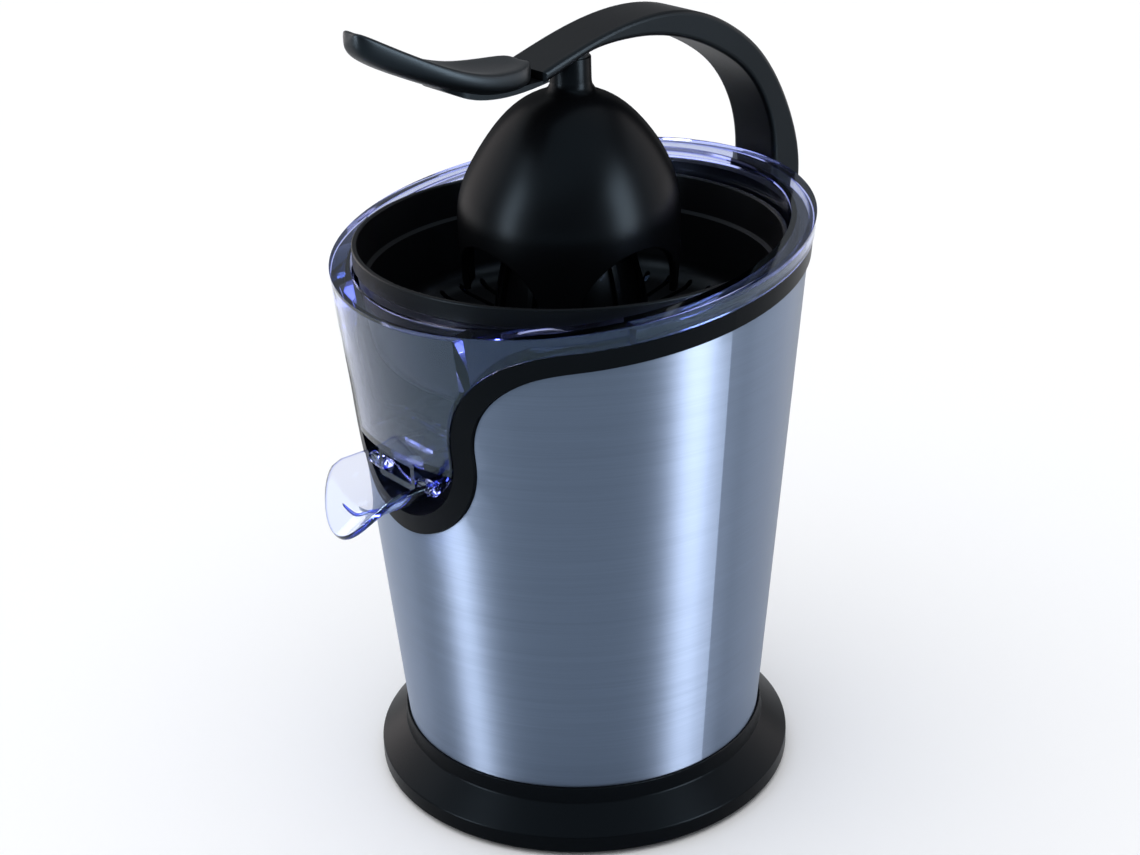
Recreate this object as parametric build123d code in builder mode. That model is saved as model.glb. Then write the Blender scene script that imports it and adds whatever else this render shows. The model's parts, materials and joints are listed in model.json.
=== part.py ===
from build123d import *
from math import acos, cos, pi, radians, sin, sqrt, tan
import os

# Millimetres. The origin is on the drive axis at the table, the spout faces -Y and +Z is up.

# Base and conical body
FOOT_HEIGHT = 2.0
FOOT_INSET = 4.0
FOOT_WIDTH = 5.0
BASE_FLARE = 10.6
BASE_BAND = 6.9
BASE_TOP = 24.8
BASE_NECK = 6.6
NECK_WALL = 0.9
NECK_GAP = 0.3
NECK_DRAFT = 0.4
BASE_SKIN = 3.0
COVER_THICKNESS = 2.5
BODY_FOOT = 20.8
BODY_FOOT_RADIUS = 73.7
BODY_TAPER = 5.1
BASE_EDGE = 0.8
NECK_EDGE = 0.4
SEAT_WIDTH = 6.7
SEAT_DEPTH = 3.5
SCREW_INSET = 11.7
POST_INSET = 1.7
POST_RADIUS = 4.0
GLAND_RADIUS = 5.0
GLAND_BORE = 3.2
GLAND_RISE = 6.4
AIR_SLOTS = 18
SLEEVE_WALL = 0.8
LINER_WALL = 2.6
LINER_GAP = 0.3
SEAT_GAP = 0.5

# Sloping rim with its front notch; drops are below the rim's middle or the notch's centre
RIM_HEIGHT = 215.3
RIM_SLOPE = 6.9
TRIM_WIDTH = 8.0
TRIM_PROUD = 1.2
NOTCH_HALF_WIDTH = 38.5
NOTCH_DROP = 46.5
NOTCH_SHOULDER = 33.0
RECESS_DEPTH = 16.0
RECESS_WALL = 2.5
DECK_DROP = 33.0
DECK_THICKNESS = 3.0
TOWER_RADIUS = 9.5
TOWER_DROP = 6.0
HINGE_CUTOUT_WIDTH = 34.0
HINGE_CUTOUT_DEPTH = 22.0

# Clear juice bowl; its hub and the strainer's seat stand above its floor
BOWL_WALL = 2.2
BOWL_RIM_HEIGHT = 7.0
BOWL_RIM_PROUD = 1.6
BOWL_RIM_WALL = 2.4
BOWL_GAP = 0.3
BOWL_INSET = 6.0
BOWL_DRAFT = 4.5
BOWL_DEPTH = 48.5
BOWL_FLOOR_RISE = 5.0
BOWL_CORNER = 14.0
BOWL_HUB_RADIUS = 12.2
BOWL_HUB_BORE = 10.0
BOWL_HUB_HEIGHT = 19.0
BOWL_HUB_STEP = 4.0
STRAINER_SEAT = 11.0
WINDOW_DROP = 7.0
OUTLET_HALF_WIDTH = 11.5
OUTLET_WALL = 2.6
OUTLET_HEIGHT = 12.0

# Spout
SPOUT_PIVOT_INSET = 1.57
SPOUT_PIVOT_DROP = 15.0
SPOUT_RADIUS = 25.0
SPOUT_WALL = 2.2
SPOUT_TILT = 7.0
SPOUT_REACH = 38.5
SPOUT_TAIL = 8.0
SPOUT_TIP_RADIUS = 22.5
SPOUT_LIP = 3.0
STUD_RADIUS = 2.5

# Strainer; its floor is above its seat, its corner above its floor
STRAINER_GAP = 1.0
STRAINER_PROUD = 14.5
STRAINER_LIP = 7.0
STRAINER_WALL = 2.0
STRAINER_DRAFT = 5.4
STRAINER_CORNER_WIDTH = 9.6
STRAINER_CORNER_HEIGHT = 11.0
STRAINER_FLOOR = 6.0
STRAINER_GROOVE = 1.0
STRAINER_LEDGE_DEPTH = 14.0
STRAINER_LEDGE_WIDTH = 1.6
STRAINER_HUB_FOOT = 4.0
STRAINER_HUB_FLARE = 3.0
STRAINER_HUB_HEIGHT = 9.0
STRAINER_SLOTS = 44
STRAINER_SLOT_WIDTH = 2.4
STRAINER_SLOT_LENGTH = 30.0
STRAINER_SLOT_RUN = 5.0

# Reamer; its base is above the bowl's hub, its tip above its base
REAMER_BASE = 6.0
REAMER_RADIUS = 29.0
REAMER_TIP = 73.0
REAMER_FLANGE = 5.0
REAMER_FLANGE_THICKNESS = 3.0
REAMER_SOCKET = 19.0
REAMER_RIBS = 10
REAMER_RIB_HEIGHT = 2.6
REAMER_RIB_WIDTH = 2.2
REAMER_WALL = 2.6

# Press dome and lever; the dome's edge is above the reamer's base, its widest ring above its edge
DOME_RADIUS = 43.0
DOME_EQUATOR = 31.0
DOME_RISE = 47.5
DOME_BOTTOM = 16.0
DOME_TUCK = 1.4
DOME_WALL = 2.6
DOME_ARCH = 24.0
ARCH_RISE = 1.0
STEM_RADIUS = 7.5
STEM_FOOT_RADIUS = 2.5
ARM_WIDTH = 24.0
ARM_EDGE = 1.8
STEM_LENGTH = 11.9
STEM_SETBACK = 2.5
TONGUE_WIDTH = 22.0
TONGUE_CORNER = 9.0
HINGE_REACH = 13.18
HINGE_RISE = 8.5
HINGE_EYE = 8.0
HINGE_PIN_RADIUS = 3.0
HINGE_TONGUE = 11.0
PADDLE_WIDTH = 31.0
PADDLE_THICKNESS = 5.0
PADDLE_REAR = 19.5
PADDLE_LENGTH = 75.0
PADDLE_SCREW_INSET = 9.0
PADDLE_SCREW_PITCH = 13.0

# Drive train
SHAFT_RADIUS = 5.0
SHAFT_HEX = 4.3
SHAFT_HEX_DROP = 4.0
PRESS_TRAVEL = 3.0
MODULE = 1.25
PINION_TEETH = 12
WHEEL_TEETH = 36
WHEEL_ADDENDUM = 0.85
BACKLASH = 0.28
GEAR_FACE = 7.0
SPRING_ROOM = 20.0
CASE_FLOOR_THICKNESS = 3.0
CASE_HEIGHT = 28.0
CASE_WALL = 3.0
CASE_MARGIN = 3.5
COVER_PLATE = 3.0
MOTOR_SHAFT_RADIUS = 4.0
ROTOR_RADIUS = 22.0
AIR_GAP = 0.4
STATOR_RADIUS = 40.0
STATOR_LENGTH = 32.0
COIL_ROOM = 10.0
STATOR_SLOTS = 12
SLOT_RADIUS = 3.4
COIL_OVERHANG = 6.5
BOLT_SPAN = 25.5
BOLT_RADIUS = 2.0
IDLER_FACE = 6.0
IDLER_PIN_RADIUS = 3.0
PINION_FACE = 7.5
EAR_INSET = 5.06
EAR_OVERHANG = 2.94
COVER_BUSH_RADIUS = 8.0
WASHER_RADIUS = 17.0
SPRING_RADIUS = 9.2
SPRING_WIRE = 0.8
SPRING_TURNS = 4
MOTOR_BUSH_RADIUS = 7.0
BRACKET_DROP = 14.0
FAN_DROP = 12.0
FAN_RADIUS = 34.0
SWITCH_HEIGHT = 11.0
PLUNGER_RADIUS = 1.4

CASE_CORNER = 12.0
EAR_RADIUS = 6.0
EAR_THICKNESS = 3.0
BOSS_RADIUS = 4.5
LEG_RADIUS = 4.4
HUB_WALL = 3.0
PINION_DROP = 0.8
BRACKET_PLATE = 3.0
BUSH_LENGTH = 7.0

# Screws
SMALL_SCREW = 1.5
BODY_SCREW = 1.8
PADDLE_SCREW = 1.3
DOME_SCREW = 2.0

# Fits
RUNNING_FIT = 0.05
PRESS_FIT = 0.02
SLIDE_GAP = 0.4

slope = tan(radians(RIM_SLOPE))
taper = tan(radians(BODY_TAPER))


def body_radius(height):
    """Outer radius of the steel cone at a height above the table."""
    return BODY_FOOT_RADIUS + (height - BODY_FOOT) * taper


neck_inner = body_radius(BASE_TOP) + NECK_GAP
neck_radius = neck_inner + NECK_WALL
neck_foot_radius = neck_radius + NECK_DRAFT
neck_foot = BASE_TOP - BASE_NECK
base_radius = neck_foot_radius + BASE_FLARE
foot_radius = base_radius - FOOT_INSET
notch_centre = RIM_HEIGHT - NOTCH_DROP
deck_top = notch_centre - DECK_DROP
window_bottom = notch_centre - WINDOW_DROP
spout_pivot_z = notch_centre - SPOUT_PIVOT_DROP
spout_pivot_y = SPOUT_PIVOT_INSET - body_radius(spout_pivot_z)
bowl_inner_radius = body_radius(RIM_HEIGHT) - BOWL_INSET
bowl_lower_radius = bowl_inner_radius - BOWL_DRAFT
bowl_floor = RIM_HEIGHT - BOWL_DEPTH
bowl_hub_top = bowl_floor + BOWL_HUB_HEIGHT
tower_top = bowl_hub_top - TOWER_DROP
strainer_seat = bowl_floor + STRAINER_SEAT
strainer_floor = strainer_seat + STRAINER_FLOOR
strainer_corner = strainer_floor + STRAINER_CORNER_HEIGHT
strainer_top = RIM_HEIGHT + STRAINER_PROUD
strainer_radius = bowl_inner_radius - STRAINER_GAP
strainer_lower_radius = strainer_radius - STRAINER_DRAFT
strainer_floor_radius = strainer_lower_radius - STRAINER_CORNER_WIDTH
slot_end = strainer_floor_radius + STRAINER_SLOT_RUN
reamer_base = bowl_hub_top + REAMER_BASE
reamer_tip = reamer_base + REAMER_TIP
reamer_flange = REAMER_RADIUS + REAMER_FLANGE
hex_start = reamer_base - SHAFT_HEX_DROP
shaft_top = reamer_base + REAMER_SOCKET
dome_bottom = reamer_base + DOME_BOTTOM
dome_bottom_radius = DOME_RADIUS - DOME_TUCK
dome_equator = dome_bottom + DOME_EQUATOR
stem_top = dome_equator + DOME_RISE + STEM_LENGTH
hinge_z = RIM_HEIGHT + HINGE_RISE
hinge_y = body_radius(hinge_z) + HINGE_REACH
deck_bottom = deck_top - DECK_THICKNESS
case_floor = deck_bottom - SPRING_ROOM - COVER_PLATE - CASE_HEIGHT
stator_top = case_floor - COIL_ROOM
stator_bottom = stator_top - STATOR_LENGTH
bracket_bottom = stator_bottom - BRACKET_DROP
fan_bottom = bracket_bottom - FAN_DROP


def sloping_block(offset):
    """Everything below the sloping rim plane, moved out by the offset."""
    reach = 2.0 * base_radius
    middle = RIM_HEIGHT + offset / cos(radians(RIM_SLOPE))
    with BuildPart() as block:
        with BuildSketch(Plane.YZ):
            with BuildLine():
                Polyline((-reach, 0), (reach, 0), (reach, middle + reach * slope),
                         (-reach, middle - reach * slope), close=True)
            make_face()
        extrude(amount=reach, both=True)
    return block.part


def rim_block(offset):
    """The sloping block with the round-bottomed front notch, its shoulders rounded over."""
    half_width = NOTCH_HALF_WIDTH - offset
    reach = 2.0 * base_radius
    block_part = sloping_block(offset)
    with BuildPart() as block:
        add(block_part)
        with BuildSketch(Plane.XZ.offset(base_radius / 4)):
            with Locations((0, notch_centre)):
                Circle(half_width)
            with Locations((0, notch_centre + reach / 2)):
                Rectangle(2 * half_width, reach)
        extrude(amount=2 * reach, mode=Mode.SUBTRACT)
        corners = block.edges().filter_by(
            lambda e: abs(abs(e.center().X) - half_width) < 0.01 and e.center().Z > notch_centre
            and abs(e.tangent_at(0.5).Y) > 0.9 and abs(e.tangent_at(0.5).Z) > 0.05)
        fillet(corners, NOTCH_SHOULDER + offset)
    return block.part


def cone_solid(offset, bottom, top):
    """A solid of the body's cone, moved out by the offset."""
    with BuildPart() as cone:
        with BuildSketch(Plane.XZ):
            with BuildLine():
                Polyline((0, bottom), (body_radius(bottom) + offset, bottom),
                         (body_radius(top) + offset, top), (0, top), close=True)
            make_face()
        revolve(axis=Axis.Z)
    return cone.part


def gear_profile(teeth, addendum):
    """A spur gear with involute flanks and a tooth on +X."""
    pitch = MODULE * teeth / 2
    base = pitch * cos(radians(20))
    tip = pitch + addendum * MODULE
    root = pitch - 1.25 * MODULE
    half = (pi * MODULE / 2 - BACKLASH) / (2 * pitch) + tan(radians(20)) - radians(20)

    def flank(radius, side):
        angle = acos(min(1.0, base / radius))
        turn = side * (half - (tan(angle) - angle))
        return (radius * cos(turn), radius * sin(turn))

    start = max(base, root + 0.1)
    middle = (start + tip) / 2
    low = flank(start, 1)
    foot_scale = (root - 0.3) / start
    foot = (low[0] * foot_scale, low[1] * foot_scale)
    with BuildSketch() as tooth:
        with BuildLine():
            Line(foot, low)
            ThreePointArc(low, flank(middle, 1), flank(tip, 1))
            Line(flank(tip, 1), flank(tip, -1))
            ThreePointArc(flank(tip, -1), flank(middle, -1), (low[0], -low[1]))
            Polyline((low[0], -low[1]), (foot[0], -foot[1]), foot)
        make_face()
    with BuildSketch() as profile:
        Circle(root)
        with PolarLocations(0, teeth):
            add(tooth.sketch)
    return profile.sketch


def ring_edges(piece, radius, height):
    """The round edge of a turned piece at a radius and a height."""
    return piece.edges().filter_by(GeomType.CIRCLE).filter_by(
        lambda e: abs(e.radius - radius) < 0.01 and abs(e.center().Z - height) < 0.01)


def ring_spots(radius, start):
    """Four points on a circle, the first at the start angle in degrees."""
    angles = [radians(start + 90 * i) for i in range(4)]
    return [(radius * cos(angle), radius * sin(angle)) for angle in angles]


def cross_screws(spots, seat, radius, shank, head):
    """Screws that point up from their seat, each with a cross recess in its head."""
    with BuildPart() as screws:
        with BuildSketch(Plane.XY.offset(seat)):
            with Locations(*spots):
                Circle(radius - PRESS_FIT)
        extrude(amount=shank)
        with BuildSketch(Plane.XY.offset(seat)):
            with Locations(*spots):
                Circle(2 * radius)
        extrude(amount=-head)
        with BuildSketch(Plane.XY.offset(seat - head)):
            with Locations(*spots):
                Rectangle(2.4 * radius, 0.6 * radius)
                Rectangle(0.6 * radius, 2.4 * radius)
        extrude(amount=0.6 * head, mode=Mode.SUBTRACT)
    return screws.part


os.makedirs("parts", exist_ok=True)
everything = RIM_HEIGHT + 2.0 * base_radius
top_limit = RIM_HEIGHT + 60.0
liner_out = -SLEEVE_WALL - LINER_GAP
liner_in = liner_out - LINER_WALL
rim_offset = TRIM_WIDTH + BOWL_GAP + BOWL_RIM_HEIGHT
gear_centres = MODULE * (PINION_TEETH + WHEEL_TEETH) / 2
wheel_tip = MODULE * (WHEEL_TEETH / 2 + WHEEL_ADDENDUM)
tower_bore = TOWER_RADIUS - 2.5
cover_bottom = case_floor + CASE_HEIGHT
cover_top = cover_bottom + COVER_PLATE
idler_bottom = case_floor + CASE_FLOOR_THICKNESS + 3.0
output_bottom = idler_bottom + IDLER_FACE + PRESS_TRAVEL + 2.0

steel_block = rim_block(0)
lip_floor_block = rim_block(LINER_GAP)
trim_block = rim_block(TRIM_WIDTH)
window_block = rim_block(TRIM_WIDTH + BOWL_GAP)
window_inner_block = rim_block(TRIM_WIDTH + BOWL_GAP + BOWL_RIM_WALL)
rim_top_block = sloping_block(rim_offset)
rim_under_block = sloping_block(rim_offset - BOWL_RIM_WALL)
rim_foot_block = sloping_block(TRIM_WIDTH)

# Rubber foot ring under the bottom cover
with BuildPart() as foot_ring:
    with BuildSketch():
        Circle(foot_radius)
        Circle(foot_radius - FOOT_WIDTH, mode=Mode.SUBTRACT)
    extrude(amount=FOOT_HEIGHT)
    fillet(foot_ring.edges().group_by(Axis.Z)[0].sort_by(SortBy.RADIUS)[-1], 0.8)

# Flared base ring with the seat for the body, screw lugs and cover posts
seat_bottom = BODY_FOOT - SEAT_DEPTH
screw_circle = BODY_FOOT_RADIUS - SCREW_INSET
post_circle = BODY_FOOT_RADIUS - POST_INSET
seat_inner = BODY_FOOT_RADIUS - SEAT_WIDTH
base_bottom = FOOT_HEIGHT
band_top = base_bottom + BASE_BAND
base_inner = base_radius - BASE_SKIN
flank = BASE_FLARE / (neck_foot - band_top)
seat_outer = base_inner - (seat_bottom - band_top) * flank
gland_z = base_bottom + GLAND_RISE
post_spots = ring_spots(post_circle, 22.5)
body_spots = ring_spots(screw_circle, 45)
with BuildPart() as base_ring:
    with BuildSketch(Plane.XZ):
        with BuildLine():
            Polyline((base_inner, base_bottom), (base_radius, base_bottom), (base_radius, band_top),
                     (neck_foot_radius, neck_foot), (neck_radius, BASE_TOP), (neck_inner, BASE_TOP),
                     (BODY_FOOT_RADIUS + NECK_GAP, BODY_FOOT), (seat_inner, BODY_FOOT),
                     (seat_inner, seat_bottom), (seat_outer, seat_bottom), (base_inner, band_top), close=True)
        make_face()
    revolve(axis=Axis.Z)
    fillet(ring_edges(base_ring, base_radius, base_bottom) + ring_edges(base_ring, base_radius, band_top),
           BASE_EDGE)
    fillet(ring_edges(base_ring, neck_foot_radius, neck_foot), BASE_EDGE)
    fillet(ring_edges(base_ring, neck_radius, BASE_TOP), NECK_EDGE)
    with BuildSketch(Plane.XY.offset(seat_bottom)):
        with PolarLocations(screw_circle, 4, start_angle=45):
            SlotCenterToCenter(12, 12)
    extrude(amount=BODY_FOOT - seat_bottom)
    with BuildSketch(Plane.XY.offset(base_bottom + COVER_THICKNESS)):
        with Locations(*post_spots):
            Circle(POST_RADIUS)
    extrude(amount=seat_bottom - base_bottom - COVER_THICKNESS)
    with BuildSketch(Plane.XY.offset(base_bottom)):
        with Locations(*body_spots):
            Circle(BODY_SCREW + LINER_GAP)
    extrude(amount=BODY_FOOT, mode=Mode.SUBTRACT)
    with BuildSketch(Plane.XY.offset(base_bottom)):
        with Locations(*post_spots):
            Circle(SMALL_SCREW)
    extrude(amount=9.0, mode=Mode.SUBTRACT)
    with Locations(Location((0, base_radius - 4, gland_z), (90, 0, 0))):
        Cylinder(GLAND_RADIUS, 20, mode=Mode.SUBTRACT)

# Cord gland at the rear of the base
with BuildPart() as cord_gland:
    with BuildSketch(Plane.XZ.offset(-(base_radius + 1.5))):
        with Locations((0, gland_z)):
            Circle(GLAND_RADIUS - PRESS_FIT)
    extrude(amount=11.0)
    with BuildSketch(Plane.XZ.offset(-(base_radius + 2.0))):
        with Locations((0, gland_z)):
            Circle(GLAND_RADIUS + 0.9)
    extrude(amount=1.6)
    with BuildSketch(Plane.XZ.offset(-(base_radius + 3))):
        with Locations((0, gland_z)):
            Circle(GLAND_BORE)
    extrude(amount=20.0, mode=Mode.SUBTRACT)
    fillet(cord_gland.edges().group_by(Axis.Y)[-1].sort_by(SortBy.RADIUS)[-1], 0.5)

# Bottom cover with its air slots
with BuildPart() as bottom_cover:
    with BuildSketch(Plane.XY.offset(base_bottom)):
        Circle(base_inner - LINER_GAP)
        with Locations(*post_spots):
            Circle(SMALL_SCREW + SLIDE_GAP, mode=Mode.SUBTRACT)
        with Locations(*body_spots):
            Circle(2 * BODY_SCREW + LINER_GAP, mode=Mode.SUBTRACT)
        with PolarLocations(36, AIR_SLOTS):
            SlotCenterToCenter(18, 3.2, mode=Mode.SUBTRACT)
    extrude(amount=COVER_THICKNESS)
    with Locations(Location((0, base_radius - 4, gland_z), (90, 0, 0))):
        Cylinder(GLAND_RADIUS + SEAT_GAP, 20, mode=Mode.SUBTRACT)

# Cover screws, from below into the posts
cover_screw_group = cross_screws(post_spots, base_bottom, SMALL_SCREW, 8.5, 1.4)
with BuildPart() as cover_screws:
    add(cover_screw_group)

# Body screws that hold the liner down on the base
body_screw_group = cross_screws(body_spots, seat_bottom, BODY_SCREW, 18.0, 2.4)
with BuildPart() as body_screws:
    add(body_screw_group)

# Brushed steel sleeve, cut along the sloping rim, the notch and the hinge cut-out
sleeve_outer = cone_solid(0, BODY_FOOT, top_limit)
sleeve_inner = cone_solid(-SLEEVE_WALL, BODY_FOOT, top_limit)
cutout_bottom = RIM_HEIGHT + body_radius(RIM_HEIGHT) * slope - HINGE_CUTOUT_DEPTH
with BuildPart() as steel_sleeve:
    add(sleeve_outer)
    add(sleeve_inner, mode=Mode.SUBTRACT)
    add(steel_block, mode=Mode.INTERSECT)
    with BuildSketch(Plane.XZ):
        with Locations((0, cutout_bottom)):
            Rectangle(HINGE_CUTOUT_WIDTH, everything, align=(Align.CENTER, Align.MIN))
    extrude(amount=-everything, mode=Mode.SUBTRACT)

case_length = gear_centres + 2 * (wheel_tip + CASE_MARGIN)
case_width = 2 * (wheel_tip + CASE_MARGIN)
ear_x = case_length / 2 + CASE_WALL - EAR_INSET
ear_y = case_width / 2 + CASE_WALL + EAR_OVERHANG
ear_spots = [(gear_centres / 2 + side * ear_x, end * ear_y) for side in (1, -1) for end in (1, -1)]

# Inner housing: liner, trim lip, deck with shaft tower, spout recess, screw bosses and hinge lug
liner_solid = cone_solid(liner_out, BODY_FOOT, top_limit)
liner_hollow = cone_solid(liner_in, BODY_FOOT - 1, top_limit)
lip_solid = cone_solid(TRIM_PROUD, notch_centre - NOTCH_HALF_WIDTH - 5, top_limit)
recess_radius = NOTCH_HALF_WIDTH - TRIM_WIDTH
recess_back = body_radius(deck_top) - RECESS_DEPTH
tray_limit = cone_solid(liner_out - LINER_WALL / 2, BODY_FOOT, top_limit)
lug_root = body_radius(hinge_z)
lug_top = hinge_z + HINGE_EYE + 1.0
with BuildPart() as recess_tray:
    with BuildSketch(Plane.XZ.offset(recess_back)):
        with Locations((0, notch_centre)):
            Circle(recess_radius + RECESS_WALL)
            Circle(recess_radius, mode=Mode.SUBTRACT)
    extrude(amount=everything)
    with BuildSketch(Plane.XZ.offset(recess_back)):
        with Locations((0, notch_centre)):
            Circle(recess_radius + RECESS_WALL)
    extrude(amount=-RECESS_WALL)
    with BuildSketch(Plane.XZ):
        with Locations((0, spout_pivot_z - OUTLET_HEIGHT / 2)):
            Rectangle(2 * OUTLET_HALF_WIDTH + 2, everything, align=(Align.CENTER, Align.MIN))
    extrude(amount=recess_back + 1, mode=Mode.SUBTRACT)
    with Locations((0, 0, window_bottom - 1)):
        Box(everything, 4 * everything, everything, align=(Align.CENTER, Align.CENTER, Align.MIN),
            mode=Mode.SUBTRACT)
    add(tray_limit, mode=Mode.INTERSECT)
with BuildPart() as liner_bosses:
    with BuildSketch(Plane.XY.offset(BODY_FOOT + SEAT_GAP)):
        with Locations(*body_spots):
            Circle(BOSS_RADIUS)
        with PolarLocations(screw_circle + 7.0, 4, start_angle=45):
            Rectangle(14, 4)
    extrude(amount=16.0)
    add(tray_limit, mode=Mode.INTERSECT)
with BuildPart() as inner_housing:
    add(lip_solid)
    add(lip_floor_block, mode=Mode.SUBTRACT)
    add(liner_solid)
    with BuildSketch(Plane.XZ.offset(-(body_radius(cutout_bottom) + 3.0))):
        with Locations((0, cutout_bottom + SEAT_GAP)):
            Rectangle(HINGE_CUTOUT_WIDTH - 2 * SEAT_GAP, HINGE_CUTOUT_DEPTH + 2,
                      align=(Align.CENTER, Align.MIN))
    extrude(amount=12.0)
    add(trim_block, mode=Mode.INTERSECT)
    with BuildSketch(Plane.YZ):
        with BuildLine():
            Polyline((lug_root, lug_top), (hinge_y + 1.5, lug_top), (hinge_y + 1.5, hinge_z),
                     (hinge_y, hinge_z - HINGE_EYE + 0.4), (lug_root + 4, cutout_bottom + 2.0),
                     (lug_root - 4, cutout_bottom + 2.0), (lug_root - 4, lug_top - 4), close=True)
        make_face()
        with Locations((hinge_y, hinge_z)):
            Circle(HINGE_EYE - 0.4)
    extrude(amount=HINGE_TONGUE / 2, both=True)
    add(liner_hollow, mode=Mode.SUBTRACT)
    add(liner_bosses.part)
    with BuildSketch(Plane.XY.offset(deck_top)):
        Circle(body_radius(deck_top - DECK_THICKNESS) + liner_in + 0.8)
    extrude(amount=-DECK_THICKNESS)
    with BuildSketch(Plane.XY.offset(deck_top)):
        Circle(TOWER_RADIUS)
    extrude(amount=tower_top - deck_top)
    with BuildSketch(Plane.XY.offset(deck_top)):
        with PolarLocations(TOWER_RADIUS + 7, 4, start_angle=45):
            Rectangle(18, 2.2)
    extrude(amount=18.0)
    add(recess_tray.part)
    with BuildSketch(Plane.XY.offset(cover_top)):
        with Locations(*ear_spots):
            Circle(BOSS_RADIUS)
    extrude(amount=deck_bottom - cover_top)
    with BuildSketch(Plane.XY.offset(cover_top)):
        with Locations(*ear_spots):
            Circle(SMALL_SCREW)
    extrude(amount=14.0, mode=Mode.SUBTRACT)
    with BuildSketch(Plane.XY.offset(deck_bottom)):
        Circle(tower_bore)
    extrude(amount=tower_top, mode=Mode.SUBTRACT)
    with BuildSketch(Plane.XY.offset(BODY_FOOT)):
        with Locations(*body_spots):
            Circle(BODY_SCREW)
    extrude(amount=16.0, mode=Mode.SUBTRACT)
    with Locations(Location((0, hinge_y, hinge_z), (0, 90, 0))):
        Cylinder(HINGE_PIN_RADIUS, ARM_WIDTH, mode=Mode.SUBTRACT)

# Clear juice bowl: sloping rim, basin, front window in the notch, outlet with pivot studs
plug_back = bowl_lower_radius - BOWL_CORNER - OUTLET_WALL - 1.9


def basin(grow, top):
    """The basin's hollow, or its outside when grown by the wall."""
    corner = BOWL_CORNER + grow
    diagonal = corner * sin(pi / 4)
    centre = (bowl_lower_radius - BOWL_CORNER, bowl_floor + BOWL_CORNER)
    knee = RIM_HEIGHT + 2.5
    with BuildPart() as hollow:
        with BuildSketch(Plane.XZ):
            with BuildLine():
                l1 = Line((0, bowl_floor + BOWL_FLOOR_RISE - grow), (centre[0], bowl_floor - grow))
                l2 = ThreePointArc(l1 @ 1, (centre[0] + diagonal, centre[1] - diagonal),
                                   (centre[0] + corner, centre[1]))
                Polyline(l2 @ 1, (bowl_inner_radius + grow, knee), (bowl_inner_radius + grow, top),
                         (0, top), l1 @ 0)
            make_face()
        revolve(axis=Axis.Z)
    return hollow.part


rim_solid = cone_solid(BOWL_RIM_PROUD, window_bottom, top_limit)
rim_hollow = cone_solid(BOWL_RIM_PROUD - BOWL_RIM_WALL, window_bottom + BOWL_RIM_WALL, top_limit)
basin_outside = basin(BOWL_WALL, top_limit)
basin_inside = basin(0, top_limit + 5)
window_half = NOTCH_HALF_WIDTH - TRIM_WIDTH - BOWL_GAP - BOWL_RIM_WALL
outlet_bottom = spout_pivot_z - 3.0
outlet_front = spout_pivot_y - 3.0
spout_rise = notch_centre - spout_pivot_z
stud_reach = sqrt(SPOUT_RADIUS**2 - spout_rise**2) + SLIDE_GAP
with BuildPart() as window_void:
    add(rim_hollow)
    add(rim_under_block, mode=Mode.INTERSECT)
    add(window_inner_block, mode=Mode.SUBTRACT)
    with Locations((0, -plug_back - BOWL_RIM_WALL, 0)):
        Box(2 * window_half + 16, everything, 2 * everything, align=(Align.CENTER, Align.MAX, Align.MIN),
            mode=Mode.INTERSECT)
with BuildPart() as rim_void:
    add(rim_hollow)
    add(rim_under_block, mode=Mode.INTERSECT)
    add(rim_foot_block, mode=Mode.SUBTRACT)
    add(basin_outside, mode=Mode.SUBTRACT)
    with Locations((0, -NOTCH_HALF_WIDTH, 0)):
        Box(2 * everything, 2 * everything, 2 * everything, align=(Align.CENTER, Align.MIN, Align.MIN),
            mode=Mode.INTERSECT)
with BuildPart() as juice_bowl:
    add(rim_solid)
    add(window_block, mode=Mode.SUBTRACT)
    with Locations((0, -plug_back, 0)):
        Box(2 * everything, everything, RIM_HEIGHT - 8, align=(Align.CENTER, Align.MIN, Align.MIN),
            mode=Mode.SUBTRACT)
    add(basin_outside)
    add(rim_top_block, mode=Mode.INTERSECT)
    add(basin_inside, mode=Mode.SUBTRACT)
    add(window_void.part, mode=Mode.SUBTRACT)
    add(rim_void.part, mode=Mode.SUBTRACT)
    with Locations((0, outlet_front, outlet_bottom)):
        Box(2 * OUTLET_HALF_WIDTH, -outlet_front - plug_back, OUTLET_HEIGHT,
            align=(Align.CENTER, Align.MIN, Align.MIN))
    with Locations(Location((0, spout_pivot_y, spout_pivot_z), (0, 90, 0))):
        Cylinder(STUD_RADIUS, 2 * stud_reach)
    with Locations((0, outlet_front - 1, outlet_bottom + OUTLET_WALL)):
        Box(2 * (OUTLET_HALF_WIDTH - OUTLET_WALL), -outlet_front - plug_back - OUTLET_WALL,
            OUTLET_HEIGHT - 2 * OUTLET_WALL, align=(Align.CENTER, Align.MIN, Align.MIN), mode=Mode.SUBTRACT)
    with Locations((0, -plug_back - OUTLET_WALL - 1, outlet_bottom + OUTLET_WALL)):
        Box(2 * (OUTLET_HALF_WIDTH - OUTLET_WALL), 10, 20, align=(Align.CENTER, Align.MAX, Align.MIN),
            mode=Mode.SUBTRACT)
    with BuildSketch(Plane.XY.offset(bowl_floor + BOWL_FLOOR_RISE - BOWL_WALL)):
        Circle(BOWL_HUB_RADIUS)
    extrude(amount=bowl_hub_top - bowl_floor - BOWL_FLOOR_RISE + BOWL_WALL)
    with BuildSketch(Plane.XY.offset(bowl_floor)):
        Circle(BOWL_HUB_RADIUS + BOWL_HUB_STEP)
    extrude(amount=strainer_seat - bowl_floor)
    with BuildSketch(Plane.XY.offset(deck_top)):
        Circle(BOWL_HUB_BORE)
    extrude(amount=everything, mode=Mode.SUBTRACT)

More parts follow.
